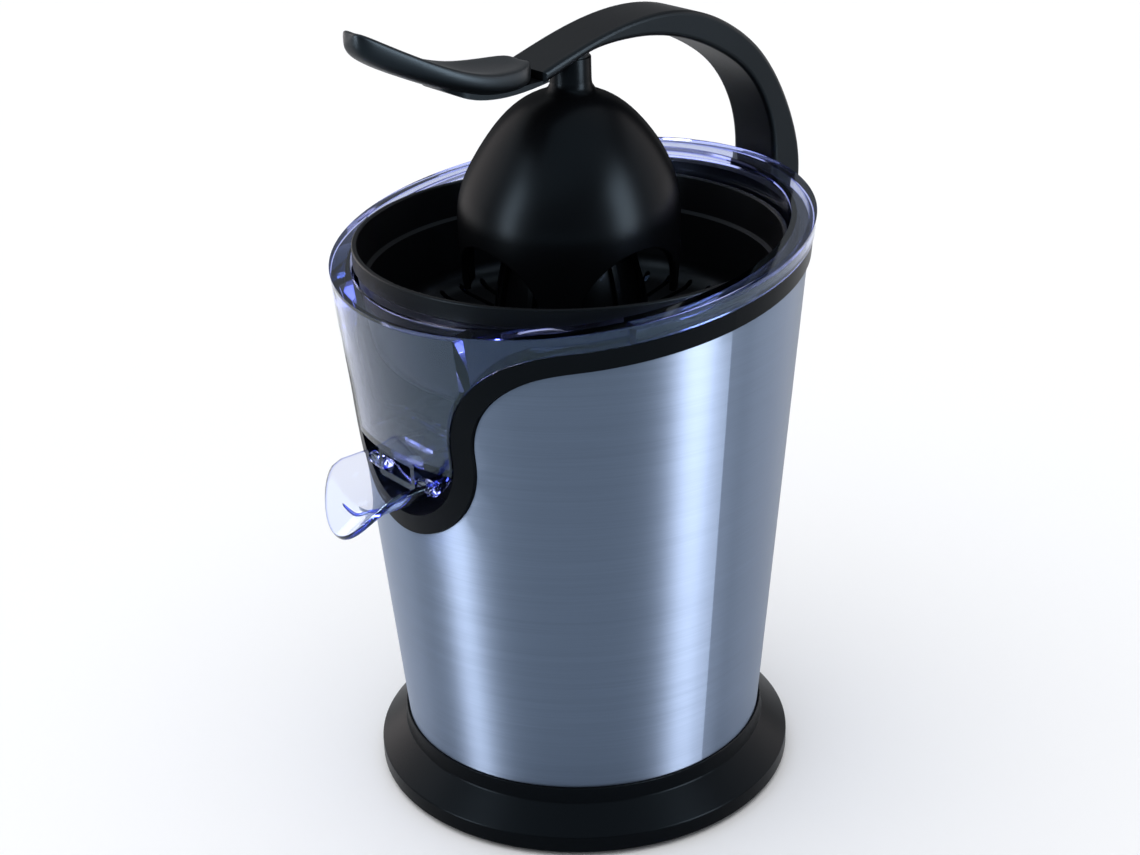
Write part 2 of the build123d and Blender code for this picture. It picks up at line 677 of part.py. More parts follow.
# Drip-stop spout: a round-bottomed trough that tips up on the outlet's studs
spout_plane = Plane(origin=(0, spout_pivot_y, spout_pivot_z), x_dir=(1, 0, 0),
                    z_dir=(0, -cos(radians(SPOUT_TILT)), -sin(radians(SPOUT_TILT))))
with BuildPart() as spout:
    with BuildSketch(spout_plane.offset(-SPOUT_TAIL)):
        with Locations((0, spout_rise)):
            Circle(SPOUT_RADIUS)
            Circle(SPOUT_RADIUS - SPOUT_WALL, mode=Mode.SUBTRACT)
        with Locations((0, SPOUT_LIP)):
            Rectangle(4 * SPOUT_RADIUS, 4 * SPOUT_RADIUS, align=(Align.CENTER, Align.MAX),
                      mode=Mode.INTERSECT)
    extrude(amount=SPOUT_TAIL + 1.2 * SPOUT_REACH)
    with BuildSketch():
        with Locations((0, spout_pivot_y - SPOUT_REACH + SPOUT_TIP_RADIUS)):
            Circle(SPOUT_TIP_RADIUS)
            Rectangle(4 * SPOUT_RADIUS, SPOUT_REACH + SPOUT_TAIL, align=(Align.CENTER, Align.MIN))
    extrude(amount=everything, mode=Mode.INTERSECT)
    with Locations(Location((0, spout_pivot_y, spout_pivot_z), (0, 90, 0))):
        Cylinder(STUD_RADIUS + RUNNING_FIT, 4 * SPOUT_RADIUS, mode=Mode.SUBTRACT)

# Strainer basket with a rim band, a ledge and radial slots round its floor
strainer_hub = BOWL_HUB_RADIUS + SLIDE_GAP
hub_foot = strainer_hub + STRAINER_HUB_FOOT
hub_flare = hub_foot + STRAINER_HUB_FLARE
hub_top = strainer_seat + STRAINER_HUB_HEIGHT
hub_root = strainer_seat + STRAINER_HUB_FLARE + 1.1 * STRAINER_WALL
ledge_top = strainer_top - STRAINER_LEDGE_DEPTH
ledge_inner = strainer_radius - STRAINER_WALL - STRAINER_LEDGE_WIDTH
with BuildPart() as strainer:
    with BuildSketch(Plane.XZ):
        with BuildLine():
            l1 = Polyline((strainer_radius - STRAINER_WALL, strainer_top), (strainer_radius, strainer_top),
                          (strainer_radius, strainer_top - STRAINER_LIP),
                          (strainer_radius - STRAINER_GROOVE, strainer_top - STRAINER_LIP - STRAINER_GROOVE),
                          (strainer_lower_radius, strainer_corner))
            l2 = TangentArc(l1 @ 1, (strainer_floor_radius, strainer_floor), tangent=l1 % 1)
            l3 = Polyline(l2 @ 1, (hub_flare, strainer_seat + STRAINER_HUB_FLARE), (hub_foot, strainer_seat),
                          (strainer_hub, strainer_seat), (strainer_hub, hub_top),
                          (strainer_hub + STRAINER_WALL, hub_top),
                          (strainer_hub + 1.5 * STRAINER_WALL, hub_root),
                          (strainer_floor_radius - 0.2 * STRAINER_WALL, strainer_floor + STRAINER_WALL))
            inner_wall = (strainer_lower_radius - STRAINER_WALL, strainer_corner + 0.3 * STRAINER_WALL)
            inner_corner = (strainer_floor_radius + 0.57 * STRAINER_CORNER_WIDTH,
                            strainer_floor + 0.47 * STRAINER_CORNER_HEIGHT)
            l4 = ThreePointArc(l3 @ 1, inner_corner, inner_wall)
            Polyline(l4 @ 1, (ledge_inner - STRAINER_LEDGE_WIDTH, ledge_top - STRAINER_GROOVE),
                     (ledge_inner, ledge_top), l1 @ 0)
        make_face()
    revolve(axis=Axis.Z)
    fillet(strainer.edges().group_by(Axis.Z)[-1], 0.7)
    with BuildSketch(Plane.XY.offset(strainer_seat)):
        with PolarLocations(slot_end - STRAINER_SLOT_LENGTH / 2, STRAINER_SLOTS):
            SlotOverall(STRAINER_SLOT_LENGTH, STRAINER_SLOT_WIDTH)
    extrude(amount=STRAINER_FLOOR + 0.77 * STRAINER_CORNER_HEIGHT, mode=Mode.SUBTRACT)

# Ribbed reamer, hollow, with a hexagonal drive socket
flange_top = reamer_base + REAMER_FLANGE_THICKNESS
bulge = 0.62


def ogive(grow, base, tip):
    """The reamer's pointed form, grown outwards."""
    with BuildPart() as form:
        with BuildSketch(Plane.XZ):
            with BuildLine():
                Line((0, base), (REAMER_RADIUS + grow, base))
                ThreePointArc((REAMER_RADIUS + grow, base),
                              ((REAMER_RADIUS + grow) * bulge + 3.0, (base + tip) / 2 + 3.0), (2.0, tip))
                Polyline((2.0, tip), (0, tip), (0, base))
            make_face()
        revolve(axis=Axis.Z)
    return form.part


reamer_body = ogive(0, reamer_base, reamer_tip - 1.0)
reamer_hollow = ogive(-REAMER_WALL, reamer_base - 1, reamer_tip - 3 * REAMER_WALL)
rib_limit = ogive(REAMER_RIB_HEIGHT, reamer_base, reamer_tip)
with BuildPart() as reamer_ribs:
    with BuildSketch(Plane.XY.offset(reamer_base)):
        with PolarLocations(0, REAMER_RIBS // 2):
            Rectangle(4 * REAMER_RADIUS, REAMER_RIB_WIDTH)
    extrude(amount=everything)
    add(rib_limit, mode=Mode.INTERSECT)
with BuildPart() as reamer:
    add(reamer_body)
    add(reamer_ribs.part)
    with BuildSketch(Plane.XY.offset(reamer_base)):
        Circle(reamer_flange)
    extrude(amount=flange_top - reamer_base)
    add(reamer_hollow, mode=Mode.SUBTRACT)
    with BuildSketch(Plane.XY.offset(reamer_base)):
        Circle(SHAFT_RADIUS + 3.0)
        with PolarLocations(0, 2):
            Rectangle(2 * REAMER_RADIUS - 2, 2.0)
    extrude(amount=shaft_top - reamer_base + 3.0)
    with BuildSketch(Plane.XY.offset(reamer_base - 1)):
        RegularPolygon(SHAFT_HEX + RUNNING_FIT, 6, major_radius=False)
    extrude(amount=shaft_top - reamer_base + 1 + SLIDE_GAP, mode=Mode.SUBTRACT)

screw_rear = -PADDLE_REAR - PADDLE_SCREW_INSET
paddle_screw_spots = ((0, screw_rear - PADDLE_SCREW_PITCH), (0, screw_rear))
paddle_seat = stem_top - PADDLE_THICKNESS
paddle_screw_top = paddle_seat + 0.8 * PADDLE_THICKNESS
paddle_screw_seat = paddle_seat - 0.5
dome_screw_seat = dome_equator + DOME_RISE + DOME_WALL
screw_pocket = 2 * DOME_SCREW + LINER_GAP

# Lever arm: fork at the hinge, arch over the dome, stem pad, thin tongue under the paddle
fork_top = lug_top + LINER_GAP
arm_start = (hinge_y + HINGE_EYE, hinge_z)
arm_end = (hinge_y - HINGE_EYE, hinge_z)
step_y = LINER_GAP - PADDLE_REAR


def leaf(share):
    """How far forward a point lies, given as a share of the paddle's length."""
    return -PADDLE_REAR - share * PADDLE_LENGTH


# Tongue of the arm under the paddle, rounded at its end
with BuildPart() as tongue:
    with BuildSketch(Plane.YZ):
        with BuildLine():
            l1 = Spline((step_y + 3, paddle_seat + 1.4), (leaf(0.16), paddle_seat + 1.1),
                        (leaf(0.32), paddle_seat + 1.6), (leaf(0.44), paddle_seat + 4.0),
                        (leaf(0.56), paddle_seat + 7.8))
            l2 = Line(l1 @ 1, (leaf(0.56), paddle_seat + 5.6))
            l3 = Spline(l2 @ 1, (leaf(0.453), paddle_seat + 1.4), (leaf(0.307), paddle_seat - 1.0),
                        (leaf(0.12), paddle_seat - 1.1), (step_y + 3, paddle_seat + 0.5))
            Line(l3 @ 1, l1 @ 0)
        make_face()
    extrude(amount=TONGUE_WIDTH / 2, both=True)
    tongue_rear = step_y + 3 + TONGUE_CORNER
    with BuildSketch(Plane.XY.offset(stem_top - 20)):
        with Locations((0, (tongue_rear + leaf(0.56)) / 2)):
            RectangleRounded(TONGUE_WIDTH, tongue_rear - leaf(0.56), TONGUE_CORNER)
    extrude(amount=60, mode=Mode.INTERSECT)

# Curved lever arm with a forked foot round the hinge lug
with BuildPart() as lever_arm:
    with BuildSketch(Plane.YZ):
        with BuildLine():
            l1 = Spline(arm_start, (hinge_y + 8.5, hinge_z + 16), (hinge_y + 4, hinge_z + 33),
                        (hinge_y - 4, stem_top - 24.9), (0.87 * hinge_y, stem_top - 11.9),
                        (0.73 * hinge_y, stem_top + 0.1), (0.53 * hinge_y, stem_top + 9.6),
                        (0.31 * hinge_y, stem_top + 11.8), (STEM_SETBACK + 8, stem_top + 8.6),
                        (STEM_SETBACK - 8, stem_top + 4.2), (step_y, stem_top - 0.2))
            l2 = Line(l1 @ 1, (step_y, paddle_seat + 0.4))
            l3 = Spline(l2 @ 1, (STEM_SETBACK - 8, stem_top), (STEM_SETBACK + 2, stem_top + 3.2),
                        (STEM_SETBACK + 14, stem_top + 4.5),
                        (0.31 * hinge_y, stem_top + 3.9), (0.5 * hinge_y, stem_top - 0.8),
                        (0.655 * hinge_y, stem_top - 8.4), (0.8 * hinge_y, stem_top - 19.8),
                        (hinge_y - 13.5, stem_top - 29.9), (hinge_y - 7.7, hinge_z + 30),
                        (hinge_y - 6.3, hinge_z + 16), arm_end)
            Line(l3 @ 1, l1 @ 0)
        make_face()
        with Locations((hinge_y, hinge_z)):
            Circle(HINGE_EYE)
    extrude(amount=ARM_WIDTH / 2, both=True)
    fillet(lever_arm.faces().filter_by(Axis.X).edges(), ARM_EDGE)
    add(tongue)
    with BuildSketch(Plane.XY.offset(stem_top)):
        with Locations((0, STEM_SETBACK)):
            Circle(STEM_RADIUS)
    extrude(amount=3.8)
    with Locations((0, hinge_y, fork_top)):
        Box(HINGE_TONGUE + 2 * SLIDE_GAP, 6 * HINGE_EYE, 6 * HINGE_EYE,
            align=(Align.CENTER, Align.CENTER, Align.MAX), mode=Mode.SUBTRACT)
    with Locations(Location((0, hinge_y, hinge_z), (0, 90, 0))):
        Cylinder(HINGE_PIN_RADIUS + RUNNING_FIT, 2 * ARM_WIDTH, mode=Mode.SUBTRACT)
    with BuildSketch(Plane.XY.offset(stem_top)):
        with Locations((0, STEM_SETBACK)):
            Circle(DOME_SCREW)
    extrude(amount=4.4, mode=Mode.SUBTRACT)
    with BuildSketch(Plane.XY.offset(stem_top - 20)):
        with Locations(*paddle_screw_spots):
            Circle(PADDLE_SCREW + 0.2)
    extrude(amount=60, mode=Mode.SUBTRACT)
    with BuildSketch(Plane.XY.offset(paddle_screw_seat)):
        with Locations(*paddle_screw_spots):
            Circle(2 * PADDLE_SCREW + SLIDE_GAP)
    extrude(amount=-10, mode=Mode.SUBTRACT)

# Leaf-shaped handle paddle with a dished top
paddle_sections = [(0, 2.3, 0.24, 0.2), (0.045, 1.9, 0.58, 0.8), (0.133, 1.5, 0.85, 1.6),
                   (0.293, 1.8, 0.99, 2.2), (0.453, 4.8, 1.0, 2.2), (0.613, 10.0, 0.9, 1.8),
                   (0.773, 16.6, 0.71, 1.2), (0.907, 23.0, 0.5, 0.7), (1, 27.4, 0.3, 0.3)]
with BuildPart() as handle_paddle:
    for share, rise, width, sag in paddle_sections:
        half = width * PADDLE_WIDTH / 2
        edge = stem_top + rise
        with BuildSketch(Plane.XZ.offset(-leaf(share))):
            with BuildLine():
                ThreePointArc((-half, edge), (0, edge - sag), (half, edge))
                Polyline((half, edge), (half, edge - PADDLE_THICKNESS), (-half, edge - PADDLE_THICKNESS),
                         (-half, edge))
            make_face()
    loft()
    with BuildSketch(Plane.XY.offset(stem_top - 20)):
        with Locations(*paddle_screw_spots):
            Circle(PADDLE_SCREW)
    extrude(amount=paddle_screw_top - stem_top + 20, mode=Mode.SUBTRACT)

# Egg-shaped press dome with four arches round its edge, one piece with its stem


def egg(radius, rise, neck):
    """Points of the dome's upper curve from its widest ring in to the neck."""
    last = acos(neck / radius)
    return [(radius * cos(last * i / 4), dome_equator + rise * sin(last * i / 4)) for i in range(5)]


outer_curve = egg(DOME_RADIUS, DOME_RISE, STEM_RADIUS / 2)
inner_curve = egg(DOME_RADIUS - DOME_WALL, DOME_RISE - DOME_WALL, STEM_RADIUS / 2)
skirt_middle = ((dome_bottom_radius + 2 * DOME_RADIUS) / 3, (dome_bottom + dome_equator) / 2 + 1)
dome_top = dome_equator + DOME_RISE
with BuildPart() as press_dome:
    with BuildSketch(Plane.XZ):
        with BuildLine():
            l1 = ThreePointArc((dome_bottom_radius, dome_bottom), skirt_middle, (DOME_RADIUS, dome_equator))
            l2 = Spline(*outer_curve, tangents=((0, 1), (-1, 0.1)))
            Polyline(l2 @ 1, (0, outer_curve[4][1]), (0, dome_bottom), l1 @ 0)
        make_face()
    revolve(axis=Axis.Z)
    with BuildSketch(Plane.XY.offset(dome_equator)):
        with Locations((0, STEM_SETBACK)):
            Circle(STEM_RADIUS)
    extrude(amount=stem_top - dome_equator)
    fillet(press_dome.edges().filter_by_position(Axis.Z, dome_top - STEM_RADIUS, dome_top).filter_by(
        lambda e: abs(e.bounding_box().size.X - 2 * STEM_RADIUS) < 0.1), STEM_FOOT_RADIUS)
    with BuildSketch(Plane.XZ):
        with BuildLine():
            l1 = Line((dome_bottom_radius - DOME_WALL, dome_bottom - 1), inner_curve[0])
            l2 = Spline(*inner_curve, tangents=((0, 1), (-1, 0.1)))
            Polyline(l2 @ 1, (0, inner_curve[4][1]), (0, dome_bottom - 1), l1 @ 0)
        make_face()
    revolve(axis=Axis.Z, mode=Mode.SUBTRACT)
    arch_centre = (0, 0, dome_bottom + ARCH_RISE)
    with Locations(Location(arch_centre, (0, 90, 0)), Location(arch_centre, (90, 0, 0))):
        Cylinder(DOME_ARCH, 4 * DOME_RADIUS, mode=Mode.SUBTRACT)
    with BuildSketch(Plane.XY.offset(dome_equator)):
        with Locations((0, STEM_SETBACK)):
            Circle(screw_pocket)
    extrude(amount=dome_screw_seat - dome_equator, mode=Mode.SUBTRACT)
    with BuildSketch(Plane.XY.offset(dome_equator)):
        with Locations((0, STEM_SETBACK)):
            Circle(DOME_SCREW)
    extrude(amount=everything, mode=Mode.SUBTRACT)

# Screw from inside the dome, up its stem into the arm's pad
dome_shank = stem_top + 4.0 - dome_screw_seat
dome_screw_group = cross_screws([(0, STEM_SETBACK)], dome_screw_seat, DOME_SCREW, dome_shank, 3.0)
with BuildPart() as dome_screw:
    add(dome_screw_group)

# Screws that hold the paddle on the arm's tongue
paddle_shank = paddle_screw_top - paddle_screw_seat - LINER_GAP
paddle_screw_group = cross_screws(paddle_screw_spots, paddle_screw_seat, PADDLE_SCREW, paddle_shank, 1.4)
with BuildPart() as paddle_screws:
    add(paddle_screw_group)

# Hinge pin, held in the housing's lug; the arm's fork turns on its ends
with BuildPart() as hinge_pin:
    with Locations(Location((0, hinge_y, hinge_z), (0, 90, 0))):
        Cylinder(HINGE_PIN_RADIUS - PRESS_FIT, ARM_WIDTH - 1.0)
    chamfer(hinge_pin.edges().group_by(Axis.X)[0] + hinge_pin.edges().group_by(Axis.X)[-1], 0.5)

# Drive shaft with a thrust collar and a hexagonal top
washer_top = deck_bottom - 3.0
washer_bottom = washer_top - 2.0
with BuildPart() as drive_shaft:
    with BuildSketch(Plane.XY.offset(output_bottom)):
        Circle(SHAFT_RADIUS)
    extrude(amount=hex_start - output_bottom)
    with BuildSketch(Plane.XY.offset(hex_start)):
        RegularPolygon(SHAFT_HEX, 6, major_radius=False)
    extrude(amount=shaft_top - hex_start)
    with BuildSketch(Plane.XY.offset(washer_top + RUNNING_FIT)):
        Circle(SHAFT_RADIUS + 3.0)
    extrude(amount=2.6)
    chamfer(drive_shaft.edges().group_by(Axis.Z)[-1], 0.6)

# Bush in the shaft tower
with BuildPart() as tower_bush:
    with BuildSketch(Plane.XY.offset(deck_bottom)):
        Circle(tower_bore - PRESS_FIT)
        Circle(SHAFT_RADIUS + RUNNING_FIT, mode=Mode.SUBTRACT)
    extrude(amount=22.0)

# Lip seal at the top of the tower
with BuildPart() as shaft_seal:
    with BuildSketch(Plane.XZ):
        with BuildLine():
            Polyline((tower_bore - PRESS_FIT, tower_top - 6), (tower_bore - PRESS_FIT, tower_top),
                     (tower_bore - 1.2, tower_top), (SHAFT_RADIUS + 0.5, tower_top - 1.4),
                     (SHAFT_RADIUS + RUNNING_FIT, tower_top - 2.2), (SHAFT_RADIUS + 0.4, tower_top - 3.2),
                     (SHAFT_RADIUS + 0.9, tower_top - 6), close=True)
        make_face()
    revolve(axis=Axis.Z)

# Thrust washer that carries the shaft and presses the switch
with BuildPart() as thrust_washer:
    with BuildSketch(Plane.XY.offset(washer_bottom)):
        Circle(WASHER_RADIUS)
        Circle(SHAFT_RADIUS + SLIDE_GAP, mode=Mode.SUBTRACT)
    extrude(amount=washer_top - washer_bottom)

# Bush in the gearbox cover; its flange is the spring's seat
spring_seat = cover_top + 2.0
with BuildPart() as cover_bush:
    with BuildSketch(Plane.XY.offset(cover_bottom - 2.0)):
        Circle(COVER_BUSH_RADIUS - PRESS_FIT)
    extrude(amount=cover_top - cover_bottom + 2.0)
    with BuildSketch(Plane.XY.offset(cover_top)):
        Circle(COVER_BUSH_RADIUS + 4.0)
    extrude(amount=spring_seat - cover_top)
    with BuildSketch(Plane.XY.offset(cover_bottom - 5)):
        Circle(SHAFT_RADIUS + RUNNING_FIT)
    extrude(amount=20, mode=Mode.SUBTRACT)

# Return spring under the thrust washer
spring_height = washer_bottom - spring_seat - 2 * SPRING_WIRE
with BuildPart() as return_spring:
    with BuildLine():
        coil = Helix(pitch=spring_height / SPRING_TURNS, height=spring_height, radius=SPRING_RADIUS,
                     center=(0, 0, spring_seat + SPRING_WIRE))
    with BuildSketch(Plane(origin=coil @ 0, z_dir=coil % 0)):
        Circle(SPRING_WIRE)
    sweep()

# Output wheel on the drive shaft
wheel_profile = gear_profile(WHEEL_TEETH, WHEEL_ADDENDUM)
pinion_profile = gear_profile(PINION_TEETH, 1.0)
idler_plane = Plane(origin=(gear_centres, 0, idler_bottom))
with BuildPart() as output_wheel:
    with BuildSketch(Plane.XY.offset(output_bottom)):
        add(wheel_profile, rotation=180 / WHEEL_TEETH)
    extrude(amount=GEAR_FACE)
    with BuildSketch(Plane.XY.offset(output_bottom)):
        with PolarLocations(13.5, 6):
            Circle(3.6)
    extrude(amount=GEAR_FACE, mode=Mode.SUBTRACT)
    with BuildSketch(Plane.XY.offset(output_bottom)):
        Circle(SHAFT_RADIUS + PRESS_FIT)
    extrude(amount=GEAR_FACE, mode=Mode.SUBTRACT)

# Idler: a wheel and a long pinion in one piece
with BuildPart() as idler_gear:
    with BuildSketch(idler_plane):
        add(wheel_profile, rotation=180 / WHEEL_TEETH)
    extrude(amount=IDLER_FACE)
    with BuildSketch(idler_plane.offset(IDLER_FACE)):
        add(pinion_profile)
    extrude(amount=cover_bottom - 1.5 - idler_bottom - IDLER_FACE)
    with BuildSketch(idler_plane):
        Circle(IDLER_PIN_RADIUS + RUNNING_FIT)
    extrude(amount=CASE_HEIGHT, mode=Mode.SUBTRACT)
    with BuildSketch(idler_plane):
        with PolarLocations(14.5, 6, start_angle=30):
            Circle(3.4)
    extrude(amount=IDLER_FACE, mode=Mode.SUBTRACT)

# Idler pin between the case floor and the cover
with BuildPart() as idler_pin:
    with BuildSketch(Plane.XY.offset(case_floor)):
        with Locations((gear_centres, 0)):
            Circle(IDLER_PIN_RADIUS)
    extrude(amount=cover_top - case_floor)

# Gearbox case: floor with the motor's upper bearing boss, wall, screw ears, legs down to the stator
bolt_spots = [(side * BOLT_SPAN, end * BOLT_SPAN) for side in (1, -1) for end in (1, -1)]
with BuildPart() as gearbox_case:
    with BuildSketch(Plane.XY.offset(case_floor)):
        with Locations((gear_centres / 2, 0)):
            RectangleRounded(case_length + 2 * CASE_WALL, case_width + 2 * CASE_WALL, CASE_CORNER)
    extrude(amount=CASE_HEIGHT)
    with BuildSketch(Plane.XY.offset(cover_bottom)):
        with Locations(*ear_spots):
            Circle(EAR_RADIUS)
        with Locations((gear_centres / 2, 0)):
            Rectangle(2 * ear_x, 2 * ear_y)
    extrude(amount=-EAR_THICKNESS)
    with BuildSketch(Plane.XY.offset(case_floor + CASE_FLOOR_THICKNESS)):
        with Locations((gear_centres / 2, 0)):
            RectangleRounded(case_length, case_width, CASE_CORNER - CASE_WALL)
    extrude(amount=CASE_HEIGHT, mode=Mode.SUBTRACT)
    with BuildSketch(Plane.XY.offset(case_floor)):
        Circle(MOTOR_BUSH_RADIUS + HUB_WALL)
    extrude(amount=CASE_FLOOR_THICKNESS - BUSH_LENGTH)
    with BuildSketch(Plane.XY.offset(stator_top)):
        with Locations(*bolt_spots):
            Circle(LEG_RADIUS)
    extrude(amount=case_floor - stator_top)
    with BuildSketch(Plane.XY.offset(case_floor + CASE_FLOOR_THICKNESS)):
        Circle(MOTOR_BUSH_RADIUS)
    extrude(amount=-BUSH_LENGTH - 1.0, mode=Mode.SUBTRACT)
    with BuildSketch(Plane.XY.offset(case_floor)):
        with Locations((gear_centres, 0)):
            Circle(IDLER_PIN_RADIUS + PRESS_FIT)
    extrude(amount=CASE_FLOOR_THICKNESS, mode=Mode.SUBTRACT)
    with BuildSketch(Plane.XY.offset(stator_top)):
        with Locations(*bolt_spots):
            Circle(BOLT_RADIUS)
    extrude(amount=case_floor + CASE_FLOOR_THICKNESS - stator_top, mode=Mode.SUBTRACT)
    with BuildSketch(Plane.XY.offset(cover_bottom - 5)):
        with Locations(*ear_spots):
            Circle(SMALL_SCREW + LINER_GAP)
    extrude(amount=8.0, mode=Mode.SUBTRACT)

# Gearbox cover
with BuildPart() as gearbox_cover:
    with BuildSketch(Plane.XY.offset(cover_bottom)):
        with Locations((gear_centres / 2, 0)):
            RectangleRounded(case_length + 2 * CASE_WALL, case_width + 2 * CASE_WALL, CASE_CORNER)
            Rectangle(2 * ear_x, 2 * ear_y)
        with Locations(*ear_spots):
            Circle(EAR_RADIUS)
        with Locations(*ear_spots):
            Circle(SMALL_SCREW + LINER_GAP, mode=Mode.SUBTRACT)
        Circle(COVER_BUSH_RADIUS, mode=Mode.SUBTRACT)
        with Locations((gear_centres, 0)):
            Circle(IDLER_PIN_RADIUS + PRESS_FIT, mode=Mode.SUBTRACT)
    extrude(amount=COVER_PLATE)

# Screws up through the case ears and cover into the deck bosses
gearbox_screw_group = cross_screws(ear_spots, cover_bottom - EAR_THICKNESS, SMALL_SCREW, 18.0, 2.2)
with BuildPart() as gearbox_screws:
    add(gearbox_screw_group)

# Motor pinion
pinion_bottom = idler_bottom - PINION_DROP
with BuildPart() as motor_pinion:
    with BuildSketch(Plane.XY.offset(pinion_bottom)):
        add(pinion_profile)
        Circle(MOTOR_SHAFT_RADIUS + PRESS_FIT, mode=Mode.SUBTRACT)
    extrude(amount=PINION_FACE)

# Motor shaft, rotor core and fan
with BuildPart() as motor_shaft:
    with BuildSketch(Plane.XY.offset(fan_bottom)):
        Circle(MOTOR_SHAFT_RADIUS)
    extrude(amount=pinion_bottom + PINION_FACE - fan_bottom)
with BuildPart() as rotor_core:
    with BuildSketch(Plane.XY.offset(stator_bottom)):
        Circle(ROTOR_RADIUS)
    extrude(amount=stator_top - stator_bottom)
    with BuildSketch(Plane.XY.offset(stator_bottom - 3)):
        Circle(ROTOR_RADIUS - 1.0)
        Circle(ROTOR_RADIUS - 7.0, mode=Mode.SUBTRACT)
    extrude(amount=stator_top - stator_bottom + 6)
    with BuildSketch(Plane.XY.offset(stator_bottom - 3)):
        Circle(MOTOR_SHAFT_RADIUS + PRESS_FIT)
    extrude(amount=STATOR_LENGTH + 6, mode=Mode.SUBTRACT)
with BuildPart() as cooling_fan:
    with BuildSketch(Plane.XY.offset(fan_bottom + 6.5)):
        Circle(FAN_RADIUS)
    extrude(amount=1.5)
    with BuildSketch(Plane.XY.offset(fan_bottom)):
        Circle(MOTOR_SHAFT_RADIUS + 3)
        with PolarLocations((FAN_RADIUS + 10) / 2, 9):
            Rectangle(FAN_RADIUS - 11, 1.6)
    extrude(amount=6.6)
    with BuildSketch(Plane.XY.offset(fan_bottom)):
        Circle(MOTOR_SHAFT_RADIUS + PRESS_FIT)
    extrude(amount=9.0, mode=Mode.SUBTRACT)

# Stator core and its windings
slot_circle = ROTOR_RADIUS + AIR_GAP + SLOT_RADIUS + 1.5
with BuildPart() as stator_core:
    with BuildSketch(Plane.XY.offset(stator_bottom)):
        Circle(STATOR_RADIUS)
        Circle(ROTOR_RADIUS + AIR_GAP, mode=Mode.SUBTRACT)
        with PolarLocations(slot_circle, STATOR_SLOTS):
            Circle(SLOT_RADIUS, mode=Mode.SUBTRACT)
        with Locations(*bolt_spots):
            Circle(BOLT_RADIUS + 0.1, mode=Mode.SUBTRACT)
    extrude(amount=stator_top - stator_bottom)
with BuildPart() as stator_windings:
    with BuildSketch(Plane.XY.offset(stator_bottom - COIL_OVERHANG)):
        with PolarLocations(slot_circle, STATOR_SLOTS):
            Circle(SLOT_RADIUS - 0.2)
    extrude(amount=stator_top - stator_bottom + 2 * COIL_OVERHANG)
    for level in (stator_bottom - COIL_OVERHANG, stator_top + 0.2):
        with BuildSketch(Plane.XY.offset(level)):
            Circle(slot_circle + SLOT_RADIUS - 0.4)
            Circle(slot_circle - SLOT_RADIUS + 0.4, mode=Mode.SUBTRACT)
        extrude(amount=COIL_OVERHANG - 0.2)

# Lower motor bracket with its bearing hub and legs
with BuildPart() as motor_bracket:
    with BuildSketch(Plane.XY.offset(bracket_bottom)):
        with Locations(Rotation(0, 0, 45), Rotation(0, 0, -45)):
            SlotCenterToCenter(2 * BOLT_SPAN * sqrt(2), 11)
        Circle(MOTOR_BUSH_RADIUS + HUB_WALL)
    extrude(amount=BRACKET_PLATE)
    with BuildSketch(Plane.XY.offset(bracket_bottom)):
        Circle(MOTOR_BUSH_RADIUS + HUB_WALL)
    extrude(amount=BUSH_LENGTH)
    with BuildSketch(Plane.XY.offset(bracket_bottom)):
        with Locations(*bolt_spots):
            Circle(LEG_RADIUS)
    extrude(amount=stator_bottom - bracket_bottom)
    with BuildSketch(Plane.XY.offset(bracket_bottom)):
        Circle(MOTOR_BUSH_RADIUS)
        with Locations(*bolt_spots):
            Circle(BOLT_RADIUS + 0.1)
    extrude(amount=BRACKET_DROP, mode=Mode.SUBTRACT)

# Motor bushes, one in the bracket and one in the case floor
with BuildPart() as motor_bushes:
    with BuildSketch(Plane.XY.offset(bracket_bottom)):
        Circle(MOTOR_BUSH_RADIUS - PRESS_FIT)
        Circle(MOTOR_SHAFT_RADIUS + RUNNING_FIT, mode=Mode.SUBTRACT)
    extrude(amount=BUSH_LENGTH)
    with BuildSketch(Plane.XY.offset(case_floor + CASE_FLOOR_THICKNESS)):
        Circle(MOTOR_BUSH_RADIUS - PRESS_FIT)
        Circle(MOTOR_SHAFT_RADIUS + RUNNING_FIT, mode=Mode.SUBTRACT)
    extrude(amount=-BUSH_LENGTH)

# Through bolts from the bracket through the stator into the case
with BuildPart() as motor_bolts:
    with BuildSketch(Plane.XY.offset(bracket_bottom)):
        with Locations(*bolt_spots):
            Circle(BOLT_RADIUS - PRESS_FIT)
    extrude(amount=case_floor + CASE_FLOOR_THICKNESS - 0.5 - bracket_bottom)
    with BuildSketch(Plane.XY.offset(bracket_bottom)):
        with Locations(*bolt_spots):
            RegularPolygon(3.5, 6, major_radius=False)
    extrude(amount=-2.6)

# Press switch on the gearbox cover and its plunger under the washer
plunger_x = 2.5 - WASHER_RADIUS
with BuildPart() as press_switch:
    with Locations((plunger_x + 2.0, 0, cover_top)):
        Box(20.0, 8.0, SWITCH_HEIGHT, align=(Align.MAX, Align.CENTER, Align.MIN))
    chamfer(press_switch.edges().filter_by(Axis.Z), 0.6)
    with BuildSketch(Plane.XY.offset(cover_top + 1.5)):
        with Locations((plunger_x, 0)):
            Circle(PLUNGER_RADIUS + RUNNING_FIT)
    extrude(amount=SWITCH_HEIGHT, mode=Mode.SUBTRACT)
with BuildPart() as switch_plunger:
    with BuildSketch(Plane.XY.offset(cover_top + 1.5 + PRESS_TRAVEL + 1.0)):
        with Locations((plunger_x, 0)):
            Circle(PLUNGER_RADIUS)
    extrude(amount=washer_bottom - RUNNING_FIT - cover_top - 2.5 - PRESS_TRAVEL)

